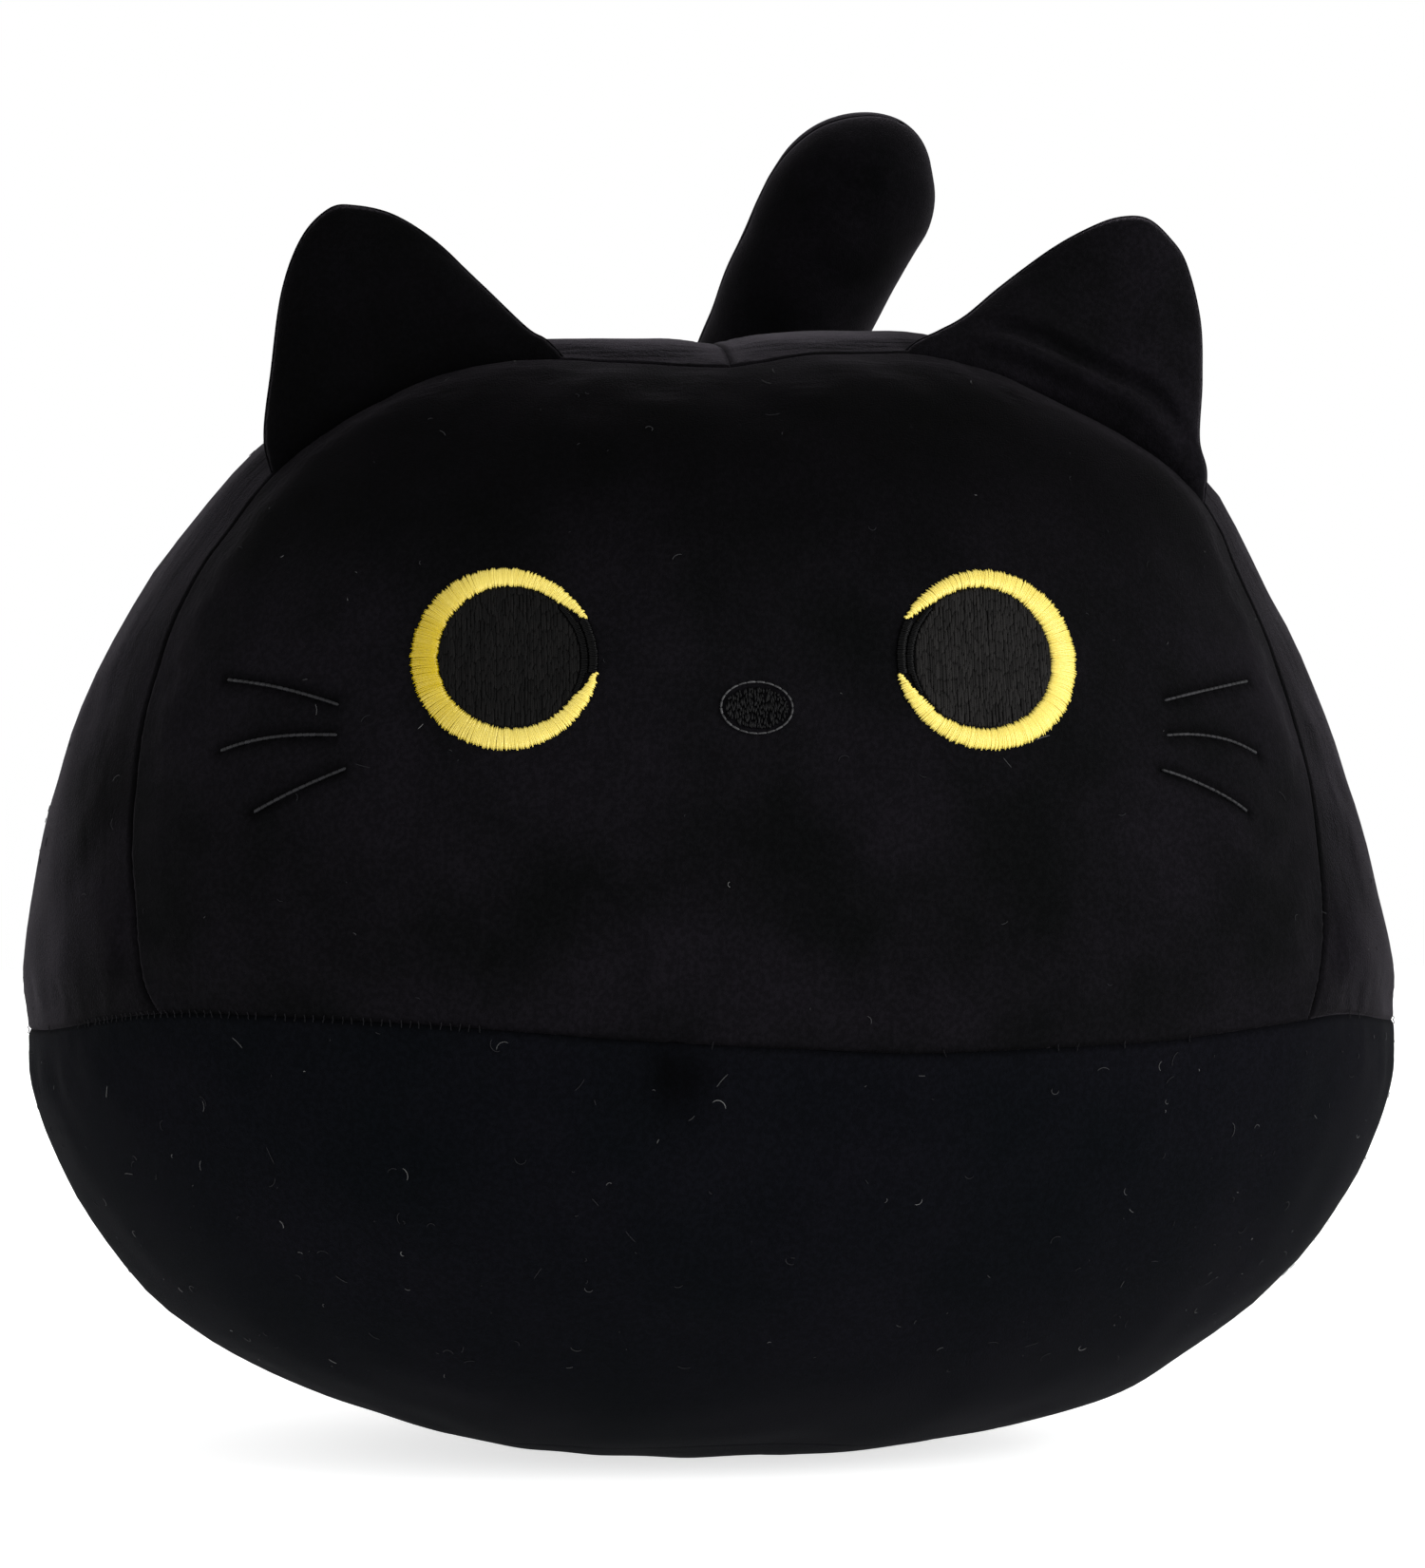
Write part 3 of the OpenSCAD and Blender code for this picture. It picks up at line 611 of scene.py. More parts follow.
def material(name, base, rough, settings, patch=None, grain=None, tone=None, fleck=None, fade=None,
             pile=False):
    """A material on a Principled shader.

    Patch is (other colour, size in m) for soft blotches, grain is (size in m, height in m) for fine relief,
    tone is the other colour for pieces that carry a tone for each thread, fleck is (size in m, how much
    darker) for the small dark flecks of brushed pile, fade is (height in m, height in m, share of the
    colour left there) for painted shade that darkens the colour upwards, and pile is for pieces
    that carry painted shade in their hollows."""
    mat = bpy.data.materials.new(name)
    mat.use_nodes = True
    tree = mat.node_tree
    shader = tree.nodes["Principled BSDF"].inputs
    for socket, value in {"Base Color": (*base, 1), "Roughness": rough, **settings}.items():
        shader[socket].default_value = value
    place = add_node(tree, "TexCoord", "Object", {})

    def noise_at(size, detail):
        return add_node(tree, "TexNoise", "Fac", {"Scale": 1 / size, "Detail": detail, "Vector": place})

    def carried(value):
        return add_node(tree, "Attribute", "Fac", {}, attribute_name=value)

    def mixed(second, share):
        return add_node(tree, "Mix", "Result", {"A": (*base, 1), "B": (*second, 1), "Factor": share},
                        data_type="RGBA")

    def scaled(colour, by):
        return add_node(tree, "VectorMath", "Vector", {0: colour, "Scale": by}, operation="SCALE")

    if patch:
        paint = mixed(patch[0], map_range(tree, noise_at(patch[1], 4), 0.35, 0.65))
        if fleck:
            size, darker = fleck
            paint = scaled(paint, map_range(tree, noise_at(size, 6), 0.42, 0.62, 1 - darker, 1 + darker))
        # Painted shade in the hollows: the colour darkens towards black where the piece carries it
        if pile:
            paint = scaled(paint, map_range(tree, carried("hollows"), 0.0, 1.0, 1.0, 0.0))
        # Painted shade: the colour grows darker upwards
        if fade:
            paint = scaled(paint, map_range(tree, height_in(tree, place), fade[0], fade[1], 1.0, fade[2],
                                            "SMOOTHSTEP"))
        tree.links.new(paint, shader["Base Color"])
    if tone:
        tree.links.new(mixed(tone, carried("tone")), shader["Base Color"])
    if grain:
        bump = add_node(tree, "Bump", "Normal",
                        {"Distance": grain[1], "Strength": 1.0, "Height": noise_at(grain[0], 2)})
        tree.links.new(bump, shader["Normal"])
    return mat


VELVET = {"Sheen Roughness": 0.28, "Sheen Tint": (0.62, 0.56, 0.66, 1), "Specular IOR Level": 0.03}
PILE_GRAIN = (0.0005, 0.00025)


def velvet(name, base, sheen, other, blotch, settings=VELVET, fleck=0.22, **more):
    """A velvet of two close colours in blotches."""
    return material(name, base, 0.95, {**settings, "Sheen Weight": sheen}, (other, blotch), PILE_GRAIN,
                    fleck=(0.0013, fleck), **more)


def thread(name, base, tone, rough, specular, relief=0.00003, fine=0.00025, tint=(1, 1, 1)):
    """A thread's material, from its first to its other colour."""
    return material(name, base, rough, {"Specular IOR Level": specular, "Specular Tint": (*tint, 1)},
                    grain=(fine, relief), tone=tone)


upper_velvet = velvet("upper_velvet", (0.0016, 0.0016, 0.0018), 0.135, (0.0038, 0.0033, 0.0044), 0.035,
                      pile=True)
tail_velvet = velvet("tail_velvet", (0.0007, 0.0007, 0.0009), 0.14, (0.0026, 0.0023, 0.0030), 0.03)
# The pile of the face and of one ear is brushed flat, and shines less. Their colour is also painted darker
# towards the top of the head, as painted shade.
face_velvet = velvet("face_velvet", (0.0017, 0.0018, 0.0020), 0.055, (0.0040, 0.0035, 0.0047), 0.04,
                     fade=(0.225, 0.29, 0.3), pile=True)
lower_velvet = velvet("lower_velvet", (0.0014, 0.0018, 0.0026), 0.007, (0.0024, 0.0024, 0.0037), 0.05,
                      {**VELVET, "Sheen Tint": (0.54, 0.57, 0.68, 1)}, 0.2, pile=True)
# First colour: the thread's own yellow, made paler as a painted highlight; other colour: a deeper gold,
# painted shade
eye_thread = thread("eye_thread", (0.78, 0.64, 0.145), (0.46, 0.33, 0.001), 0.26, 0.55, 0.00005,
                    tint=(1.0, 0.97, 0.85))
pupil_thread = thread("pupil_thread", (0.0024, 0.0023, 0.0023), (0.0150, 0.0142, 0.0138), 0.6, 0.055,
                      0.00005, 0.0003)
satin_thread = thread("satin_thread", (0.0006, 0.0006, 0.0007), (0.0012, 0.0012, 0.0013), 0.3, 0.08)
nose_thread = thread("nose_thread", (0.0012, 0.0012, 0.0014), (0.0055, 0.0055, 0.006), 0.35, 0.1)
outline_thread = thread("outline_thread", (0.012, 0.012, 0.013), (0.040, 0.040, 0.042), 0.45, 0.4)
sewing_thread = thread("sewing_thread", (0.0010, 0.0010, 0.0014), (0.0035, 0.0035, 0.0045), 0.6, 0.1)
tick_thread = thread("tick_thread", (0.0015, 0.0015, 0.0022), (0.0040, 0.0040, 0.0055), 0.6, 0.1)
whisker_thread = thread("whisker_thread", (0.005, 0.005, 0.006), (0.013, 0.013, 0.015), 0.5, 0.2, 0.00004)
lint = thread("lint", (0.012, 0.012, 0.014), (0.11, 0.11, 0.11), 0.8, 0.1, 0.00002, 0.0002)
fibre = material("fibre", (0.80, 0.80, 0.77), 0.9, {"Sheen Weight": 0.3},
                 patch=((0.68, 0.68, 0.65), 0.012), grain=(0.0018, 0.0016))
felt = material("felt", (0.74, 0.74, 0.71), 0.9, {"Sheen Weight": 0.2},
                patch=((0.66, 0.66, 0.63), 0.004), grain=(0.0006, 0.0003))
label_weave = material("label_weave", (0.80, 0.80, 0.78), 0.5, {"Sheen Weight": 0.3},
                       patch=((0.74, 0.74, 0.72), 0.006), grain=(0.0004, 0.0001))

# ---- body panels

TUCK = 3.2
SKIN_T, THIN_T = 1.2, 0.35


def tucked(points, normals):
    """A grid with one more row and column of points on each side, turned in as seam allowance."""
    depth = np.zeros(np.array(points.shape[:2]) + 2)
    depth[[0, -1]] += TUCK
    depth[:, [0, -1]] += TUCK * 0.9
    pad = ((1, 1), (1, 1), (0, 0))
    return np.pad(points, pad, "edge") - np.pad(normals, pad, "edge") * depth[..., None]


def skin_piece(name, points, normals, body, mat, nodes, hollows=None):
    """A fabric panel from its grid. With the painted shade of its hollows it is a body panel, whose edges are
    tucked in.
    """
    if hollows is not None:
        points = tucked(points, normals)
    rows, cols = points.shape[:2]
    obj = mesh_object(name, points.reshape(-1, 3), grid_faces(rows, cols))
    if hollows is not None:
        # Painted shade for each point, which darkens the colour in the seams, whisker grooves and dimple
        add_values(obj, "hollows", np.pad(hollows, 1, "edge").ravel())
    thicken(obj, THIN_T if hollows is None else SKIN_T)
    finish_piece(obj, body, mat, nodes)
    return obj


def body_panel(part, grid, mat):
    skin_piece(f"{part}_skin", skin(grid), body_normals(grid), "torso", mat, [f"{part}_panel"],
               pressed_pile(grid))


FACE_U, FACE_V = graded(230, 0.0020), graded(150, 0.0026)
SIDE_U, SIDE_V = graded(150, 0.0018), graded(76, 0.0028)
BOWL_U, BOWL_V = graded(220, 0.0012), graded(48, 0.005)
side_points = side_grid(SIDE_U, SIDE_V)
body_panel("face", face_grid(FACE_U, FACE_V), face_velvet)
body_panel("right_side", side_points, upper_velvet)
body_panel("left_side", mirrored(side_points), upper_velvet)
body_panel("belly", bowl_grid(-90, 90, BOWL_U, BOWL_V), lower_velvet)
body_panel("rump", bowl_grid(90, 270, BOWL_U, BOWL_V), lower_velvet)

# The base is round, so its rows are rings and its edge alone is turned in
base_turns = np.linspace(360, 0, 160, endpoint=False)
BASE_MIDDLE = 89.5
base_drops = BASE_MIDDLE - (BASE_MIDDLE - BASE_SEAM_DROP) * (1 - (1 - np.linspace(0, 1, 34)) ** 1.7)
base_grid = bowl_point(base_drops[:, None], base_turns[None])
base_normals = body_normals(base_grid)
base_skin = skin(base_grid)
base_points = np.concatenate([base_skin, base_skin[-1:] - base_normals[-1:] * TUCK])
base_faces = grid_faces(len(base_points), len(base_turns), wrap=True)
base_faces.append(tuple(reversed(range(len(base_turns)))))
base_piece = mesh_object("base_skin", base_points.reshape(-1, 3), base_faces)
thicken(base_piece, SKIN_T)
finish_piece(base_piece, "torso", lower_velvet, ["base_panel"])


def filling(name, points, faces, body, node, size=14.0, deep=1.5):
    """Loose fibre inside the fabric: a lumpy closed shape."""
    points = np.asarray(points, float)
    middle = points.mean(0)
    out = unit(points - middle)
    obj = mesh_object(name, points + out * (deep * (lumps(points, size, 5.0) - 1))[:, None], faces)
    return finish_piece(obj, body, fibre, [node])


fill_points, fill_faces = closed_body(8.0, 120)
fill_points = fill_points + body_moves(fill_points)
filling("body_filling", fill_points, fill_faces, "torso", "body_stuffing")

# ---- threads


def thread_piece(name, paths, radius, mat, nodes=(), sides=5, flat=1.0, tones=None, body="torso"):
    """One piece made of many threads, each a path on the skin with the skin's normals."""
    points, faces = thread_mesh(paths, radius, sides, flat)
    obj = mesh_object(name, points, faces)
    tone_rng = np.random.default_rng(len(paths))
    tones = tone_rng.uniform(0, 1, len(paths)) ** 1.5 if tones is None else tones
    values = np.concatenate([np.full(len(path) * sides, tone) for (path, _), tone in zip(paths, tones)])
    add_values(obj, "tone", values)
    return finish_piece(obj, body, mat, nodes)


def raised(plain, height):
    """Points above the skin, from points of the plain body, and the skin's normals there."""
    normals = body_normals(plain)
    return skin(plain) + normals * np.asarray(height)[..., None], normals


def stitched_paths(plain, lift, length, gap, width=0.0, sink=1.2):
    """A row of stitches along points of the plain body: each dips into the skin at both ends."""
    plain = resampled(plain, 0.5)
    normals = body_normals(plain)
    level = skin(plain)
    per, skip = max(3, int(length / 0.5)), int(gap / 0.5)
    paths = []
    for start in range(0, len(plain) - per, per + skip):
        part = slice(start, start + per + 1)
        t = np.linspace(0, 1, len(plain[part]))
        up = lift - sink * (np.abs(2 * t - 1) ** 4)
        paths.append((level[part] + normals[part] * up[:, None], normals[part]))
    return paths


def arched(low, rise, count, power=1.0):
    """Heights along a thread that is low at both ends and rises in between."""
    return low + rise * np.sin(np.linspace(0, math.pi, count)) ** power


def front_threads(lines, lifts):
    """Threads through places in the front view. Lines is threads x points x (x, z)."""
    plain = face_point(*np.moveaxis(np.asarray(lines, float), -1, 0))
    return list(zip(skin(plain, lifts), body_normals(plain)))


# Machine seams just under the skin: (lift, length, gap)
MACHINE_STITCH = (-1.6, 2.5, 0.5)
SEAM_THREAD_R = 0.3
for seam_name in ("face", "centre", "waist", "base"):
    thread_piece(f"{seam_name}_seam_thread_stitches", stitched_paths(SEAMS[seam_name], *MACHINE_STITCH),
                 SEAM_THREAD_R, sewing_thread, [f"{seam_name}_seam_thread"])
flank_paths = (stitched_paths(SEAMS["flank_right"], *MACHINE_STITCH)
               + stitched_paths(SEAMS["flank_left"], *MACHINE_STITCH))
thread_piece("flank_seam_stitches", flank_paths, SEAM_THREAD_R, sewing_thread,
             ["flank_seam_threads"])


# How far the bowl falls in a degree of its drop angle, just under the waist
MM_PER_DEGREE = 2.13


def crossing_threads(turns, half_len, lift, slant):
    """Short threads across the waist seam at turns from the front, in degrees."""
    paths = []
    for turn, lean in zip(turns, slant):
        t = np.linspace(-1, 1, 7)
        plain = bowl_point(np.maximum(0, -t * half_len) / MM_PER_DEGREE, turn + lean * t)
        plain[:, 2] = WAIST_H + t * half_len
        paths.append(raised(plain, lift * (1 - t ** 4) - 0.5))
    return paths


# Short stitches show across the waist seam in front, most of them around one turn
TICKS_AT, TICKS_HALF_W = -42, 22
tick_turns = np.arange(-88, 88, 0.85)
tick_turns = tick_turns + rng.uniform(-0.12, 0.12, len(tick_turns))
tick_chance = np.where(np.abs(tick_turns - TICKS_AT) < TICKS_HALF_W, 0.9, 0.1)
tick_turns = tick_turns[rng.uniform(0, 1, len(tick_turns)) < tick_chance]
tick_lean = rng.uniform(-0.15, 0.15, len(tick_turns))
thread_piece("waist_seam_ticks", crossing_threads(tick_turns, 1.3, 1.2, tick_lean), 0.14, tick_thread)
# The ladder stitches that close the filling opening, at turns in degrees
CLOSING_FROM, CLOSING_STEP, CLOSING_COUNT = 196, 1.7, 14
closing_turns = CLOSING_FROM + CLOSING_STEP * np.arange(CLOSING_COUNT)
thread_piece("closing_ladder", crossing_threads(closing_turns, 2.6, 1.9, np.full(CLOSING_COUNT, 0.25)), 0.42,
             sewing_thread, ["closing_stitches"])

# ---- embroidered eyes

# Sizes in mm and angles in degrees, which start from the side of the nose
EYE_X, EYE_Z = 65.5, 226.0
EYE_OUTER, EYE_INNER = 25.0, 19.6
INNER_SHIFT = np.array([1.8, 0.5])
OPEN_FROM, OPEN_TO = -10.0, 27.0
BAR_INNER, BAR_MIDDLE, BAR_OUTER = 20.4, 22.3, 24.9
TIP_ANGLE = 26.0
STITCH_PITCH, STITCH_R = 0.42, 0.29
FILL_PITCH, FILL_R = 0.52, 0.40
BAR_STITCHES, STRIP_STITCHES = 34, 60
# How much painted shade the satin gets at each eye's widest part
SATIN_SHADE_SHARE = {"left": 0.9, "right": 0.1}
# The eyes are a little wider than high
EYE_SQUEEZE = 0.975
# The eyes differ a little: (distance from the middle, how much wider)
EYE_FIT = {-1: (66.8, 1.0), 1: (64.9, 1.055)}


def inner_edge(angle):
    """Distance from the eye's centre to its crescent, at angles that start from the side of the nose."""
    a = np.radians(angle)
    along = INNER_SHIFT[0] * np.cos(a) + INNER_SHIFT[1] * np.sin(a)
    return along + np.sqrt(EYE_INNER ** 2 - (INNER_SHIFT ** 2).sum() + along ** 2)


def eye_flat(side, out, up):
    """A place on the face (x, z), from how far out and up it is from the eye's centre."""
    middle, wider = EYE_FIT[side]
    return np.stack([side * (middle + wider * out), EYE_Z + EYE_SQUEEZE * up], -1)


def eye_place(side, r, angle):
    a = np.radians(angle)
    return eye_flat(side, -r * np.cos(a), r * np.sin(a))


def stitch_column(draw, x, low, high, head, short, long, overlap, slant):
    """Upright stitches one above the other between two heights, each as its places across and up."""
    stitches, start = [], low - draw.uniform(0, head)
    while start < high:
        length = draw.uniform(short, long)
        a, b = max(start, low), min(start + length + overlap, high)
        if b - a > 0.5:
            up = np.linspace(a, b, 6)
            stitches.append((x + draw.uniform(-slant, slant) * up, up))
        start += length
    return stitches


def satin_band(side, angles, inner, outer, jitter, seed):
    """Lines of satin stitches across a band, from their inner to their outer ends."""
    band_rng = np.random.default_rng(seed)
    t = np.linspace(0, 1, 8)
    low = inner + band_rng.uniform(-jitter, jitter, len(angles))
    high = outer + band_rng.uniform(-jitter, jitter, len(angles))
    lean = band_rng.uniform(-0.3, 0.3, len(angles))
    r = low[:, None] + (high - low)[:, None] * t
    return eye_place(side, r, angles[:, None] + lean[:, None] * t)


def band_piece(name, side, angles, inner, outer):
    """A low padded band of thread under the satin stitches."""
    share = np.linspace(0, 1, 7)
    r = inner + (outer - inner) * share[:, None]
    line = eye_place(side, r, angles[None])
    plain = face_point(line[..., 0], line[..., 1])
    points = raised(plain, arched(0.1, 0.6, 7, 0.6)[:, None])[0]
    faces = grid_faces(7, len(angles))
    obj = mesh_object(name, points.reshape(-1, 3), faces if side < 0 else [f[::-1] for f in faces])
    thicken(obj, 0.3)
    add_values(obj, "tone", np.full(len(obj.data.vertices), 0.7))
    return finish_piece(obj, "torso", eye_thread)


for word, side in SIDES.items():
    seed = 20 + side
    arch = arched(0.15, 0.85, 8, 0.6)
    count = int((360 + OPEN_FROM - OPEN_TO) / 360 * 2 * math.pi * EYE_OUTER / STITCH_PITCH)
    angles = np.linspace(OPEN_TO, 360 + OPEN_FROM, count)
    angles[1:-1] += np.random.default_rng(seed + 3).uniform(-0.2, 0.2, count - 2)
    # Towards both sides of the opening the band narrows to a point on its outer edge
    tip = np.minimum(1, np.minimum(angles - OPEN_TO, 360 + OPEN_FROM - angles) / TIP_ANGLE)
    near, far = inner_edge(angles), np.full(count, EYE_OUTER)
    near = far - (far - near) * (0.22 + 0.78 * np.sin(tip * math.pi / 2) ** 0.8)
    band_piece(f"{word}_eye_underlay", side, angles, near + 0.3, far - 0.3)
    # The satin is painted a deeper gold at its widest part, where its threads lie across and catch no
    # highlight: painted shade, more so in the left eye, on the side away from the key light
    satin_shade = np.maximum(0, -np.cos(np.radians(angles))) ** 1.5 * SATIN_SHADE_SHARE[word]
    satin_shade = np.clip(satin_shade + np.random.default_rng(seed + 9).uniform(0, 0.25, count), 0, 1)
    thread_piece(f"{word}_eye_satin", front_threads(satin_band(side, angles, near, far, 0.36, seed), arch),
                 STITCH_R, eye_thread, [f"{word}_eye_crescent"], tones=satin_shade)
    bar_angles = np.linspace(OPEN_FROM + 0.6, OPEN_TO - 0.6, BAR_STITCHES)
    strip_angles = np.linspace(OPEN_FROM - 16, OPEN_TO + 16, STRIP_STITCHES)
    strip_far = np.minimum(BAR_MIDDLE, inner_edge(strip_angles) + 0.4)
    strip_far = np.where((strip_angles > OPEN_FROM) & (strip_angles < OPEN_TO), BAR_MIDDLE, strip_far)
    bar_near, bar_far = np.full(BAR_STITCHES, BAR_MIDDLE), np.full(BAR_STITCHES, BAR_OUTER)
    lines = np.concatenate([
        satin_band(side, bar_angles, bar_near, bar_far, 0.12, seed + 5),
        satin_band(side, strip_angles, np.full(STRIP_STITCHES, BAR_INNER - 0.2), strip_far, 0.1, seed + 6)])
    height = np.repeat([1.0, 0.45], [BAR_STITCHES, STRIP_STITCHES])[:, None] * arch
    thread_piece(f"{word}_eye_bar_satin", front_threads(lines, height), STITCH_R, satin_thread,
                 [f"{word}_eye_bar"])
    # The pupil: upright fill stitches in a brick pattern
    fill_lines = []
    fill_rng = np.random.default_rng(40 + side)
    for x in np.arange(-21, 22, FILL_PITCH):
        x = x + fill_rng.uniform(-0.14, 0.14)
        heights = np.arange(-22, 22, 0.15)
        angle = np.degrees(np.arctan2(heights, -x)) % 360
        turn = np.where(angle > 180, angle - 360, angle)
        limit = inner_edge(angle) - 0.25
        limit = np.where(np.abs(turn) < 48, np.minimum(limit, BAR_INNER - 0.5), limit)
        inside = heights[np.hypot(x, heights) < limit]
        if len(inside) >= 8:
            stitches = stitch_column(fill_rng, x, inside[0], inside[-1], 4, 2.6, 5.5, 0.5, 0.02)
            fill_lines += [eye_flat(side, *stitch) for stitch in stitches]
    # The left pupil's threads are painted darker and the right pupil's lighter, as painted shade and light
    # from the key light on the right
    lit_and_shaded_tones = fill_rng.uniform(*((0, 0.25) if side < 0 else (0.3, 0.9)), len(fill_lines))
    thread_piece(f"{word}_eye_fill", front_threads(fill_lines, arched(0.26, 0.12, 6, 0.5)), FILL_R,
                 pupil_thread, [f"{word}_eye_pupil"], flat=0.6, tones=lit_and_shaded_tones)


def patch_piece(name, cx, cz, rx, rz, lift, mat, nodes):
    """An oval patch that follows the skin at a height above it, or below it if lift is negative."""
    turns = np.linspace(0, 2 * math.pi, 48, endpoint=False)
    shares = np.linspace(0.08, 1, 12)
    x = cx + rx * shares[:, None] * np.cos(turns)
    z = cz + rz * shares[:, None] * np.sin(turns)
    plain = face_point(x, z)
    points = raised(plain, lift)[0]
    faces = grid_faces(len(shares), len(turns), wrap=True)
    faces.append(tuple(range(len(turns))))
    obj = mesh_object(name, points.reshape(-1, 3), faces)
    thicken(obj, 0.4)
    return finish_piece(obj, "torso", mat, nodes)


BACKING_LIFT = -1.5
for word, side in SIDES.items():
    patch_piece(f"{word}_eye_felt", side * EYE_X, EYE_Z, 29, 29, BACKING_LIFT, felt,
                [f"{word}_eye_backing"])
    # Dark ground under the fill stitches, so that no velvet shows between them
    patch_piece(f"{word}_eye_ground", side * EYE_FIT[side][0], EYE_Z, 20.2 * EYE_FIT[side][1], 20.2, 0.15,
                pupil_thread, [])

# ---- embroidered nose and whiskers

NOSE_Z, NOSE_RX, NOSE_RZ = 213.0, 10.2, 7.5
NOSE_PITCH, OUTLINE_STITCHES = 0.42, 24
patch_piece("nose_felt", 0, NOSE_Z, NOSE_RX + 4, NOSE_RZ + 4, BACKING_LIFT, felt, ["nose_backing"])
nose_lines = []
for x in np.arange(-9, 9, NOSE_PITCH):
    half = (NOSE_RZ - 1.9) * math.sqrt(max(0, 1 - (x / (NOSE_RX - 1.9)) ** 2))
    nose_lines += [np.stack([across, NOSE_Z + up], -1)
                   for across, up in stitch_column(rng, x, -half, half, 2, 1.2, 3.0, 0.0, 0.2)]
thread_piece("nose_satin", front_threads(nose_lines, arched(0.1, 0.5, 6)), 0.26, nose_thread,
             ["nose_fill"])
outline_lines = []
for turn in np.arange(0, 360, 360 / OUTLINE_STITCHES):
    a = np.radians(turn + np.linspace(-1.0, 16.0, 6))
    outline_lines.append(np.stack([(NOSE_RX - 0.6) * np.cos(a), NOSE_Z + (NOSE_RZ - 0.6) * np.sin(a)], -1))
outline_lift = 0.55 * np.sin(np.linspace(0.3, 2.84, 6))
thread_piece("nose_running_stitch", front_threads(outline_lines, outline_lift), 0.30, outline_thread,
             ["nose_outline"])

for word, side in SIDES.items():
    for level in WHISKERS[word]:
        paths = stitched_paths(whisker_line(word, level), 0.45, 2.6, -0.5, sink=0.15)
        thread_piece(f"{word}_whisker_{level}_stitches", paths, 0.48, whisker_thread,
                     [f"{word}_whisker_{level}"])

# ---- care label


# Where the label lies under the waist seam, in degrees, and its grid
LABEL_DROPS, LABEL_TURNS = (0.6, 16), (149, 158)
LABEL_ROWS, LABEL_COLS = 24, 20


def label_points(lift):
    drops = np.linspace(*LABEL_DROPS, LABEL_ROWS)[:, None]
    turns = np.linspace(*LABEL_TURNS, LABEL_COLS)[None]
    plain = bowl_point(drops, turns)
    curl = 1.6 * (drops / 16) ** 2 + 0.35 * np.sin(turns * 1.3 + drops * 0.25)
    return raised(plain, lift + curl)[0]


label_faces = grid_faces(LABEL_ROWS, LABEL_COLS)
for layer, lift in (("outer", 1.5), ("inner", 0.9)):
    layer_piece = mesh_object(f"care_label_{layer}", label_points(lift).reshape(-1, 3), label_faces)
    thicken(layer_piece, 0.25)
    finish_piece(layer_piece, "torso", label_weave, ["care_label"])

# ---- lint on the pile

LINT_COUNT = 760


def lint_paths(count):
    """Small curled fibres that cling to the skin, most of them below the waist."""
    lint_rng = np.random.default_rng(11)
    paths = []
    for _ in range(count):
        turn = lint_rng.uniform(-180, 180)
        if lint_rng.uniform() < 0.62:
            centre = bowl_point(lint_rng.uniform(2, 50), turn)
        else:
            t = math.radians(turn)
            centre = dome_point(lint_rng.uniform(25, 88) * np.array([math.sin(t), -math.cos(t)]))
        normal = body_normals(centre[None])[0]
        right = unit(np.cross(normal, [0.1, 0.2, 1.0]))
        up = np.cross(normal, right)
        half, bend = 0.3 + 2.2 * lint_rng.uniform() ** 2, lint_rng.uniform(-3.5, 3.5)
        heading = lint_rng.uniform(0, 6.28) + bend * np.linspace(-0.5, 0.5, 9)
        steps = np.stack([np.cos(heading), np.sin(heading)], -1) * half / 4
        flat = np.cumsum(steps, axis=0)
        plain = centre + flat[:, :1] * right + flat[:, 1:] * up
        paths.append(raised(plain, 0.15))
    return paths


thread_piece("lint_fibres", lint_paths(LINT_COUNT), 0.10, lint, sides=4,
             tones=np.random.default_rng(12).uniform(0, 1, LINT_COUNT) ** 5)

# ---- ears

EAR_T, EAR_RIM_T, EAR_SEAM_R = 8.0, 0.4, 0.5
# The ears are sunk this deep in the head, and round off this far from their rims
EAR_SINK, EAR_ROUND = 3.5, 24.0
# Above its seam an ear leans to its upright middle, and fills out from a thin root
LEAN_OVER, ROOT_FROM, ROOT_OVER, ROOT_PLUMP = 45.0, 2.5, 11.0, 0.22
OUTLINE_COUNT = 400
# The part of each ear's outline that is its grid's first row
TIP_FROM, TIP_TO = 0.34, 0.60
# Where each ear starts and ends in the face seam
EAR_SPANS = {"left": (0.13, 0.475), "right": (0.145, 0.515)}
# Outline of each ear from its inner to its outer base, as (distance from the middle, height)
EAR_OUTLINES = {
    "left": ((50, 316.5), (56, 320.5), (69, 333.5), (81, 345), (93, 352.5), (104, 355), (111, 354),
             (118.5, 346), (124, 331), (127, 309), (129, 289)),
    "right": ((54, 317), (61, 320.5), (69, 325), (80, 334), (95, 345), (107, 351.5), (115, 354), (122, 353.5),
              (128, 348.5), (133, 341), (137, 325), (137.5, 308), (136.5, 291), (138.5, 281)),
}


def smooth_curve(points, count):
    """A smooth curve through points, evenly spaced (Catmull-Rom)."""
    p = np.asarray(points, float)
    p = np.concatenate([2 * p[:1] - p[1:2], p, 2 * p[-1:] - p[-2:-1]])
    t = np.linspace(0, 1, 24, endpoint=False)[:, None]
    parts = [0.5 * (2 * b + (c - a) * t + (2 * a - 5 * b + 4 * c - d) * t ** 2
                    + (3 * b - a - 3 * c + d) * t ** 3)
             for a, b, c, d in zip(p, p[1:], p[2:], p[3:])]
    return resampled(np.concatenate(parts + [p[-2:-1]]), count=count)


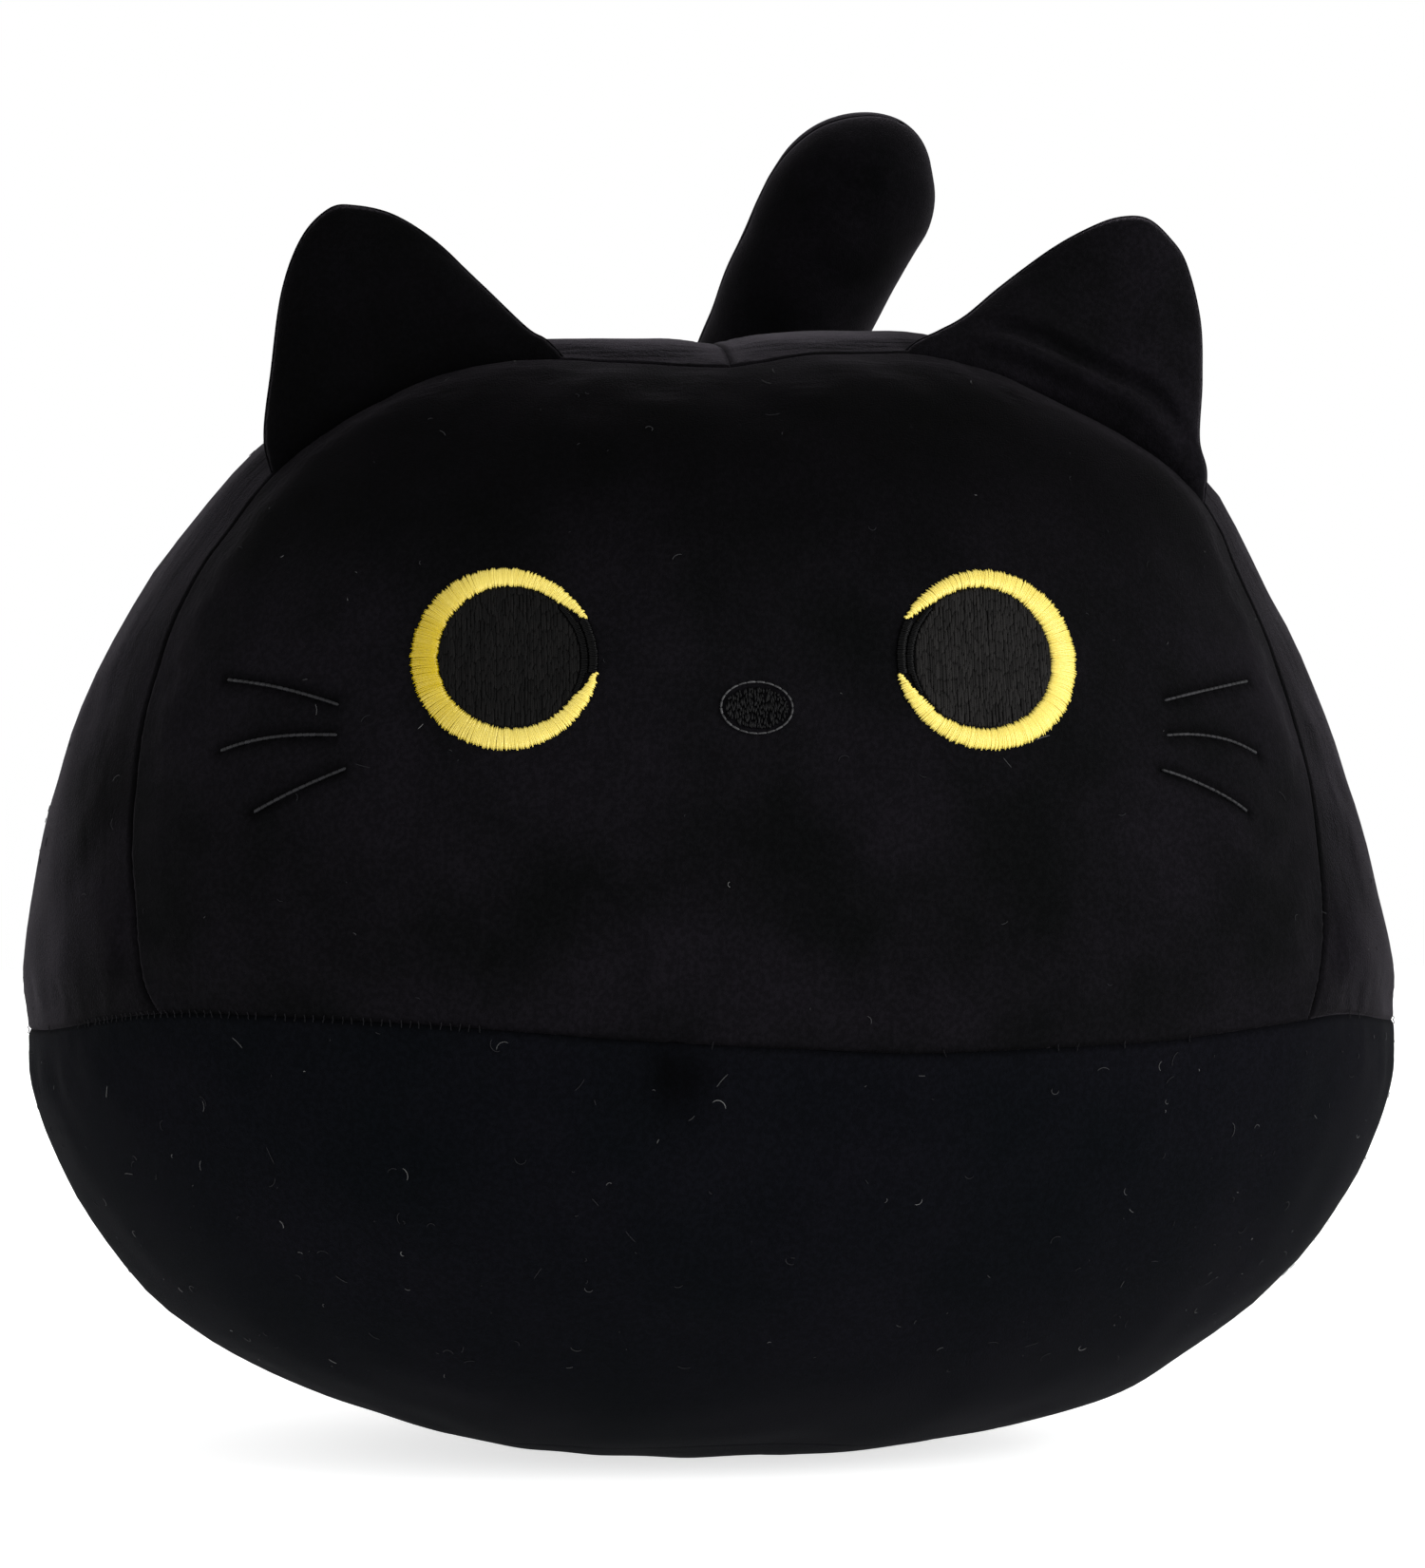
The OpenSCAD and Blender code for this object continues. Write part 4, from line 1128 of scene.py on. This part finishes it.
def crease(points, line, deep, width):
    """A fold's depth at points in the (distance, height) view of an ear."""
    line = smooth_curve(line, 60)
    away = np.linalg.norm(points[..., None, :] - line, axis=-1)
    near = away.min(-1)
    share = away.argmin(-1) / 59
    fade = np.sin(math.pi * np.clip(share, 0.03, 0.97)) ** 0.5
    return deep * fade * (bell(near, width) - 0.5 * bell(near - 1.9 * width, width))


# Folds at the front of each ear: (places, depth, width)
EAR_CREASES = {
    "left": ((((58, 319), (80, 321), (102, 309)), 0.8, 3.0),
             (((100, 306), (110, 318), (114, 334)), 0.4, 4.0)),
    "right": ((((58, 320), (76, 322), (88, 319), (105, 311), (122, 303), (136, 287)), 3.0, 2.6),
              (((66, 317), (84, 311), (104, 303)), 0.8, 2.4)),
}
EAR_ROWS, EAR_COLS = 70, 64

for word, side in SIDES.items():
    seam_t = np.linspace(*EAR_SPANS[word], EAR_COLS)
    base = dome_point(bezier(SEAM_POINTS, seam_t))
    base_skin_points = skin(base * [side, 1, 1]) * [side, 1, 1]
    base_low = base_skin_points - body_normals(base) * EAR_SINK
    outline = smooth_curve([base_low[0, [0, 2]], *EAR_OUTLINES[word], base_low[-1, [0, 2]]], OUTLINE_COUNT)
    shares = np.linspace(0, 1, OUTLINE_COUNT)
    # The left ear takes the face velvet, whose colour is painted darker towards the top as painted shade; the
    # right ear takes the side velvet, without it
    ear_velvet = face_velvet if side < 0 else upper_velvet

    def on_outline(share):
        return np.stack([np.interp(share, shares, outline[:, k]) for k in (0, 1)], -1)

    v = np.linspace(0, 1, EAR_ROWS) ** 0.9
    u = np.linspace(0, 1, EAR_COLS)
    flat = inside_edges(on_outline(TIP_FROM + (TIP_TO - TIP_FROM) * u), base_low[:, [0, 2]],
                        on_outline(TIP_FROM * (1 - v)), on_outline(TIP_TO + (1 - TIP_TO) * v), u, v)
    # Where each column meets the head, and how far each point is above that
    above = np.linalg.norm(flat - base_low[None, :, [0, 2]], axis=-1)
    rise = np.clip(above / LEAN_OVER, 0, 1)
    mid_y = base_low[None, :, 1] * (1 - rise) + (EAR_BASE[1] + 3) * rise
    flat_pad = ((0, 0), (0, 1))
    outer = search_tree(np.pad(outline, flat_pad))
    rim = np.array([outer.find(p)[2] for p in np.pad(flat.reshape(-1, 2), flat_pad)]).reshape(flat.shape[:2])
    plump = np.sqrt(np.maximum(0, 1 - (1 - np.minimum(rim / EAR_ROUND, 1)) ** 2))
    root = np.clip((above - ROOT_FROM) / ROOT_OVER, 0, 1)
    plump = plump * (ROOT_PLUMP + (1 - ROOT_PLUMP) * root ** 0.6)
    for layer, face in (("front", -1), ("back", 1)):
        folds = sum(crease(flat, *fold) for fold in EAR_CREASES[word]) if face < 0 else 0
        at = np.stack([side * flat[..., 0], mid_y, flat[..., 1]], -1)
        uneven = 0.7 * lumps(at, 16.0, 9.0 + face) * np.minimum(rim / 6, 1)
        out = np.maximum(EAR_RIM_T / 2, EAR_T * plump - (folds - uneven) * np.minimum(1, rim / 8))
        points = at + np.array([0, face, 0]) * out[..., None]
        if side * face > 0:
            points = points[:, ::-1]
        ear_skin = skin_piece(f"{word}_ear_{layer}_skin", points, points * 0, None,
                              ear_velvet, [f"{word}_ear_{layer}_panel"])
        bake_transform(ear_skin)
    # The seam along the rim closes the gap between both panels
    rim_path = np.concatenate([at[:0:-1, 0], at[0], at[1:, -1]])
    rim_normals = np.broadcast_to([0.0, 1.0, 0.0], rim_path.shape)
    rim_seam = thread_piece(f"{word}_ear_rim", [(rim_path, rim_normals)], EAR_SEAM_R, ear_velvet,
                            sides=8, body=None)
    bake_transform(rim_seam)
    # Loose fibre: the ear's own shape, smaller
    core = (slice(14, -26), slice(9, -9))
    centre = flat[core].reshape(-1, 2).mean(0)
    inner = centre + (flat[core] - centre) * 0.88
    half = 0.5 * EAR_T * plump[core]
    half[[0, -1]] = half[:, [0, -1]] = 0.3
    layers = [np.stack([side * inner[..., 0], mid_y[core] + face * half, inner[..., 1]], -1)
              for face in (-1, 1)]
    rows, cols = inner.shape[:2]
    faces = grid_faces(rows, cols) + [f[::-1] for f in grid_faces(rows, cols, rows * cols)]
    border = ([c for c in range(cols)] + [r * cols + cols - 1 for r in range(1, rows)]
              + [(rows - 1) * cols + c for c in range(cols - 2, -1, -1)]
              + [r * cols for r in range(rows - 2, 0, -1)])
    faces += [(a, b, b + rows * cols, a + rows * cols) for a, b in zip(border, border[1:] + border[:1])]
    if side < 0:
        faces = [f[::-1] for f in faces]
    filling(f"{word}_ear_filling", np.concatenate([layer.reshape(-1, 3) for layer in layers]), faces,
            f"{word}_ear", f"{word}_ear_stuffing", 9.0, 0.5)

# ---- tail

# Where the tail's two lengths meet, and the two ends of its bend, as shares
TAIL_MEET, TAIL_BEND = 0.50, (0.56, 0.76)
TAIL_COLS, TAIL_LENGTH = 48, 300
# Folds across the tail: (place as a share, the way it faces in degrees, depth)
TAIL_FOLDS, TAIL_FOLD_W = ((0.66, -60, 1.6), (0.85, -5, 2.4), (0.74, -40, 0.8)), 5.5
# How much thicker the tail is than its CAD shape along its length, and the seam at its root
TAIL_GROW_AT, TAIL_GROW = (150, 240, 290, 300), (-0.5, -1.4, 0.6, 1.2)
ROOT_DEEP, ROOT_AT, ROOT_W = 3.2, -6, 9


def tail_frame(share):
    centre = bezier(TAIL_POINTS, share)
    along = unit(bezier_slope(TAIL_POINTS, share))
    across = unit(np.array([1.0, 0, 0]) - along[..., :1] * along)
    return centre, along, across, np.cross(along, across)


def tail_points(share, dome, turns):
    """Skin of the tail. Dome is the angle past the path's end, turns go around from the right to the back."""
    centre, along, across, back = tail_frame(share)
    a = np.radians(turns)[None, :, None]
    d = np.radians(dome)[:, None, None]
    out = np.cos(d) * (np.cos(a) * across[:, None] + np.sin(a) * back[:, None]) + np.sin(d) * along[:, None]
    plain = centre[:, None] + TAIL_R * out
    normal = unit(out)
    # Seams at both sides, the seam at the root, and folds where the tail bends
    turn = np.broadcast_to(turns[None], plain.shape[:2])
    side_away = TAIL_R * np.radians(np.minimum(np.abs((turn + 90) % 180 - 90), 90)) * np.cos(d[..., 0])
    length = share[:, None] * TAIL_LENGTH
    grow = np.interp(length, TAIL_GROW_AT, TAIL_GROW)
    relief = -0.3 * bell(side_away, 1.2) - 0.2 * bell(side_away, 6)
    relief = relief + 0.8 * lumps(plain, 30.0, 3.0)
    relief = relief + 0.2 * np.sin(length / 5.5 + 4 * lumps(plain, 40.0, 4.0)) * np.exp(-side_away / 8)
    relief = relief - ROOT_DEEP * bell(length - ROOT_AT, ROOT_W)
    for at, facing, deep in TAIL_FOLDS:
        facing_it = np.maximum(0, np.cos(np.radians(turn - facing))) ** 3
        relief = relief - deep * bell(length - TAIL_LENGTH * at, TAIL_FOLD_W) * facing_it
    fade = np.cos(d[..., 0]) ** 0.5 if dome.max() > 0 else 1.0
    points = plain + normal * (grow + relief * fade)[..., None]
    over = np.maximum(0, points[..., 2] - TIP_LEAN_FROM)
    points[..., 0] += TIP_LEAN * over ** 2 / (over + 4)
    return points, normal


LOW_ROWS, HIGH_ROWS, DOME_ROWS = 90, 109, 26
low_shares = np.linspace(TAIL_MEET, -0.1, LOW_ROWS)
high_shares = np.concatenate([np.ones(DOME_ROWS), np.linspace(1, TAIL_MEET, HIGH_ROWS + 1)[1:]])
high_domes = np.concatenate([np.linspace(88, 0, DOME_ROWS), np.zeros(HIGH_ROWS)])
for part, part_shares, part_domes in (("lower", low_shares, low_shares * 0),
                                      ("upper", high_shares, high_domes)):
    for layer, turn_from in (("back", 0), ("front", 180)):
        turns = np.degrees(np.linspace(0, math.pi, TAIL_COLS)) + turn_from
        points, normals = tail_points(part_shares, part_domes, turns)
        piece = skin_piece(f"tail_{part}_{layer}_skin", points, normals, None, tail_velvet,
                           [f"tail_{part}_{layer}_panel"])
        if part == "lower":
            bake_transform(piece)
        else:
            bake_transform(piece)

for part, share_from, share_to in (("lower", 0.08, 0.58), ("upper", 0.73, 0.99)):
    domes = np.concatenate([np.linspace(80, 5, 8), np.zeros(40), np.linspace(-5, -80, 8)])
    shares = np.concatenate([np.full(8, share_to), np.linspace(share_to, share_from, 40),
                             np.full(8, share_from)])
    centre, along, across, back = tail_frame(shares)
    a = np.linspace(0, 2 * math.pi, 40, endpoint=False)[None, :, None]
    d = np.radians(domes)[:, None, None]
    r, depth = 0.8 * TAIL_R, 0.35 * TAIL_R
    rings = (centre[:, None] + r * np.cos(d) * (np.cos(a) * across[:, None] + np.sin(a) * back[:, None])
             + depth * np.sin(d) * along[:, None])
    obj = mesh_object(f"tail_{part}_filling", rings.reshape(-1, 3), tube_faces(len(domes), 40))
    finish_piece(obj, f"tail_{part}", fibre, [f"tail_{part}_stuffing"])

# ---- floor and light

floor_paint = material("floor_paint", (0.9, 0.9, 0.9), 0.9,
                       {"Specular IOR Level": 0.0, "Emission Color": (1, 1, 1, 1), "Emission Strength": 0.7})
FLOOR_HALF = 4000.0
corners = [(x * FLOOR_HALF, y * FLOOR_HALF, 0) for x, y in ((-1, -1), (1, -1), (1, 1), (-1, 1))]
floor = mesh_object("floor", corners, [(0, 1, 2, 3)])
floor.data.materials.append(floor_paint)

world = bpy.data.worlds.new("studio")
bpy.context.scene.world = world
world.use_nodes = True
# White up to a height and dimmer overhead
SKY_FROM, SKY_TO, ZENITH = 0.25, 0.9, 0.5
sky = world.node_tree
background = sky.nodes["Background"].inputs
around = add_node(sky, "TexCoord", "Generated", {})
sky.links.new(map_range(sky, height_in(sky, around), SKY_FROM, SKY_TO, 1.0, ZENITH), background["Strength"])
background["Color"].default_value = (1, 1, 1, 1)
bpy.context.scene.view_settings.view_transform = "Standard"


def soft_light(name, at, size, power):
    """A square area light that looks at the middle of the cat."""
    light = new_object(name, bpy.data.lights.new(name, "AREA"))
    light.data.shape = "SQUARE"
    light.data.size = size
    light.data.energy = power
    light.location = at
    light.rotation_euler = (camera_aim - light.location).to_track_quat("-Z", "Y").to_euler()


soft_light("left_light", Vector((-1.3, -1.5, 0.9)), 1.0, 3)
soft_light("right_light", Vector((1.5, -1.0, 0.6)), 1.0, 24)
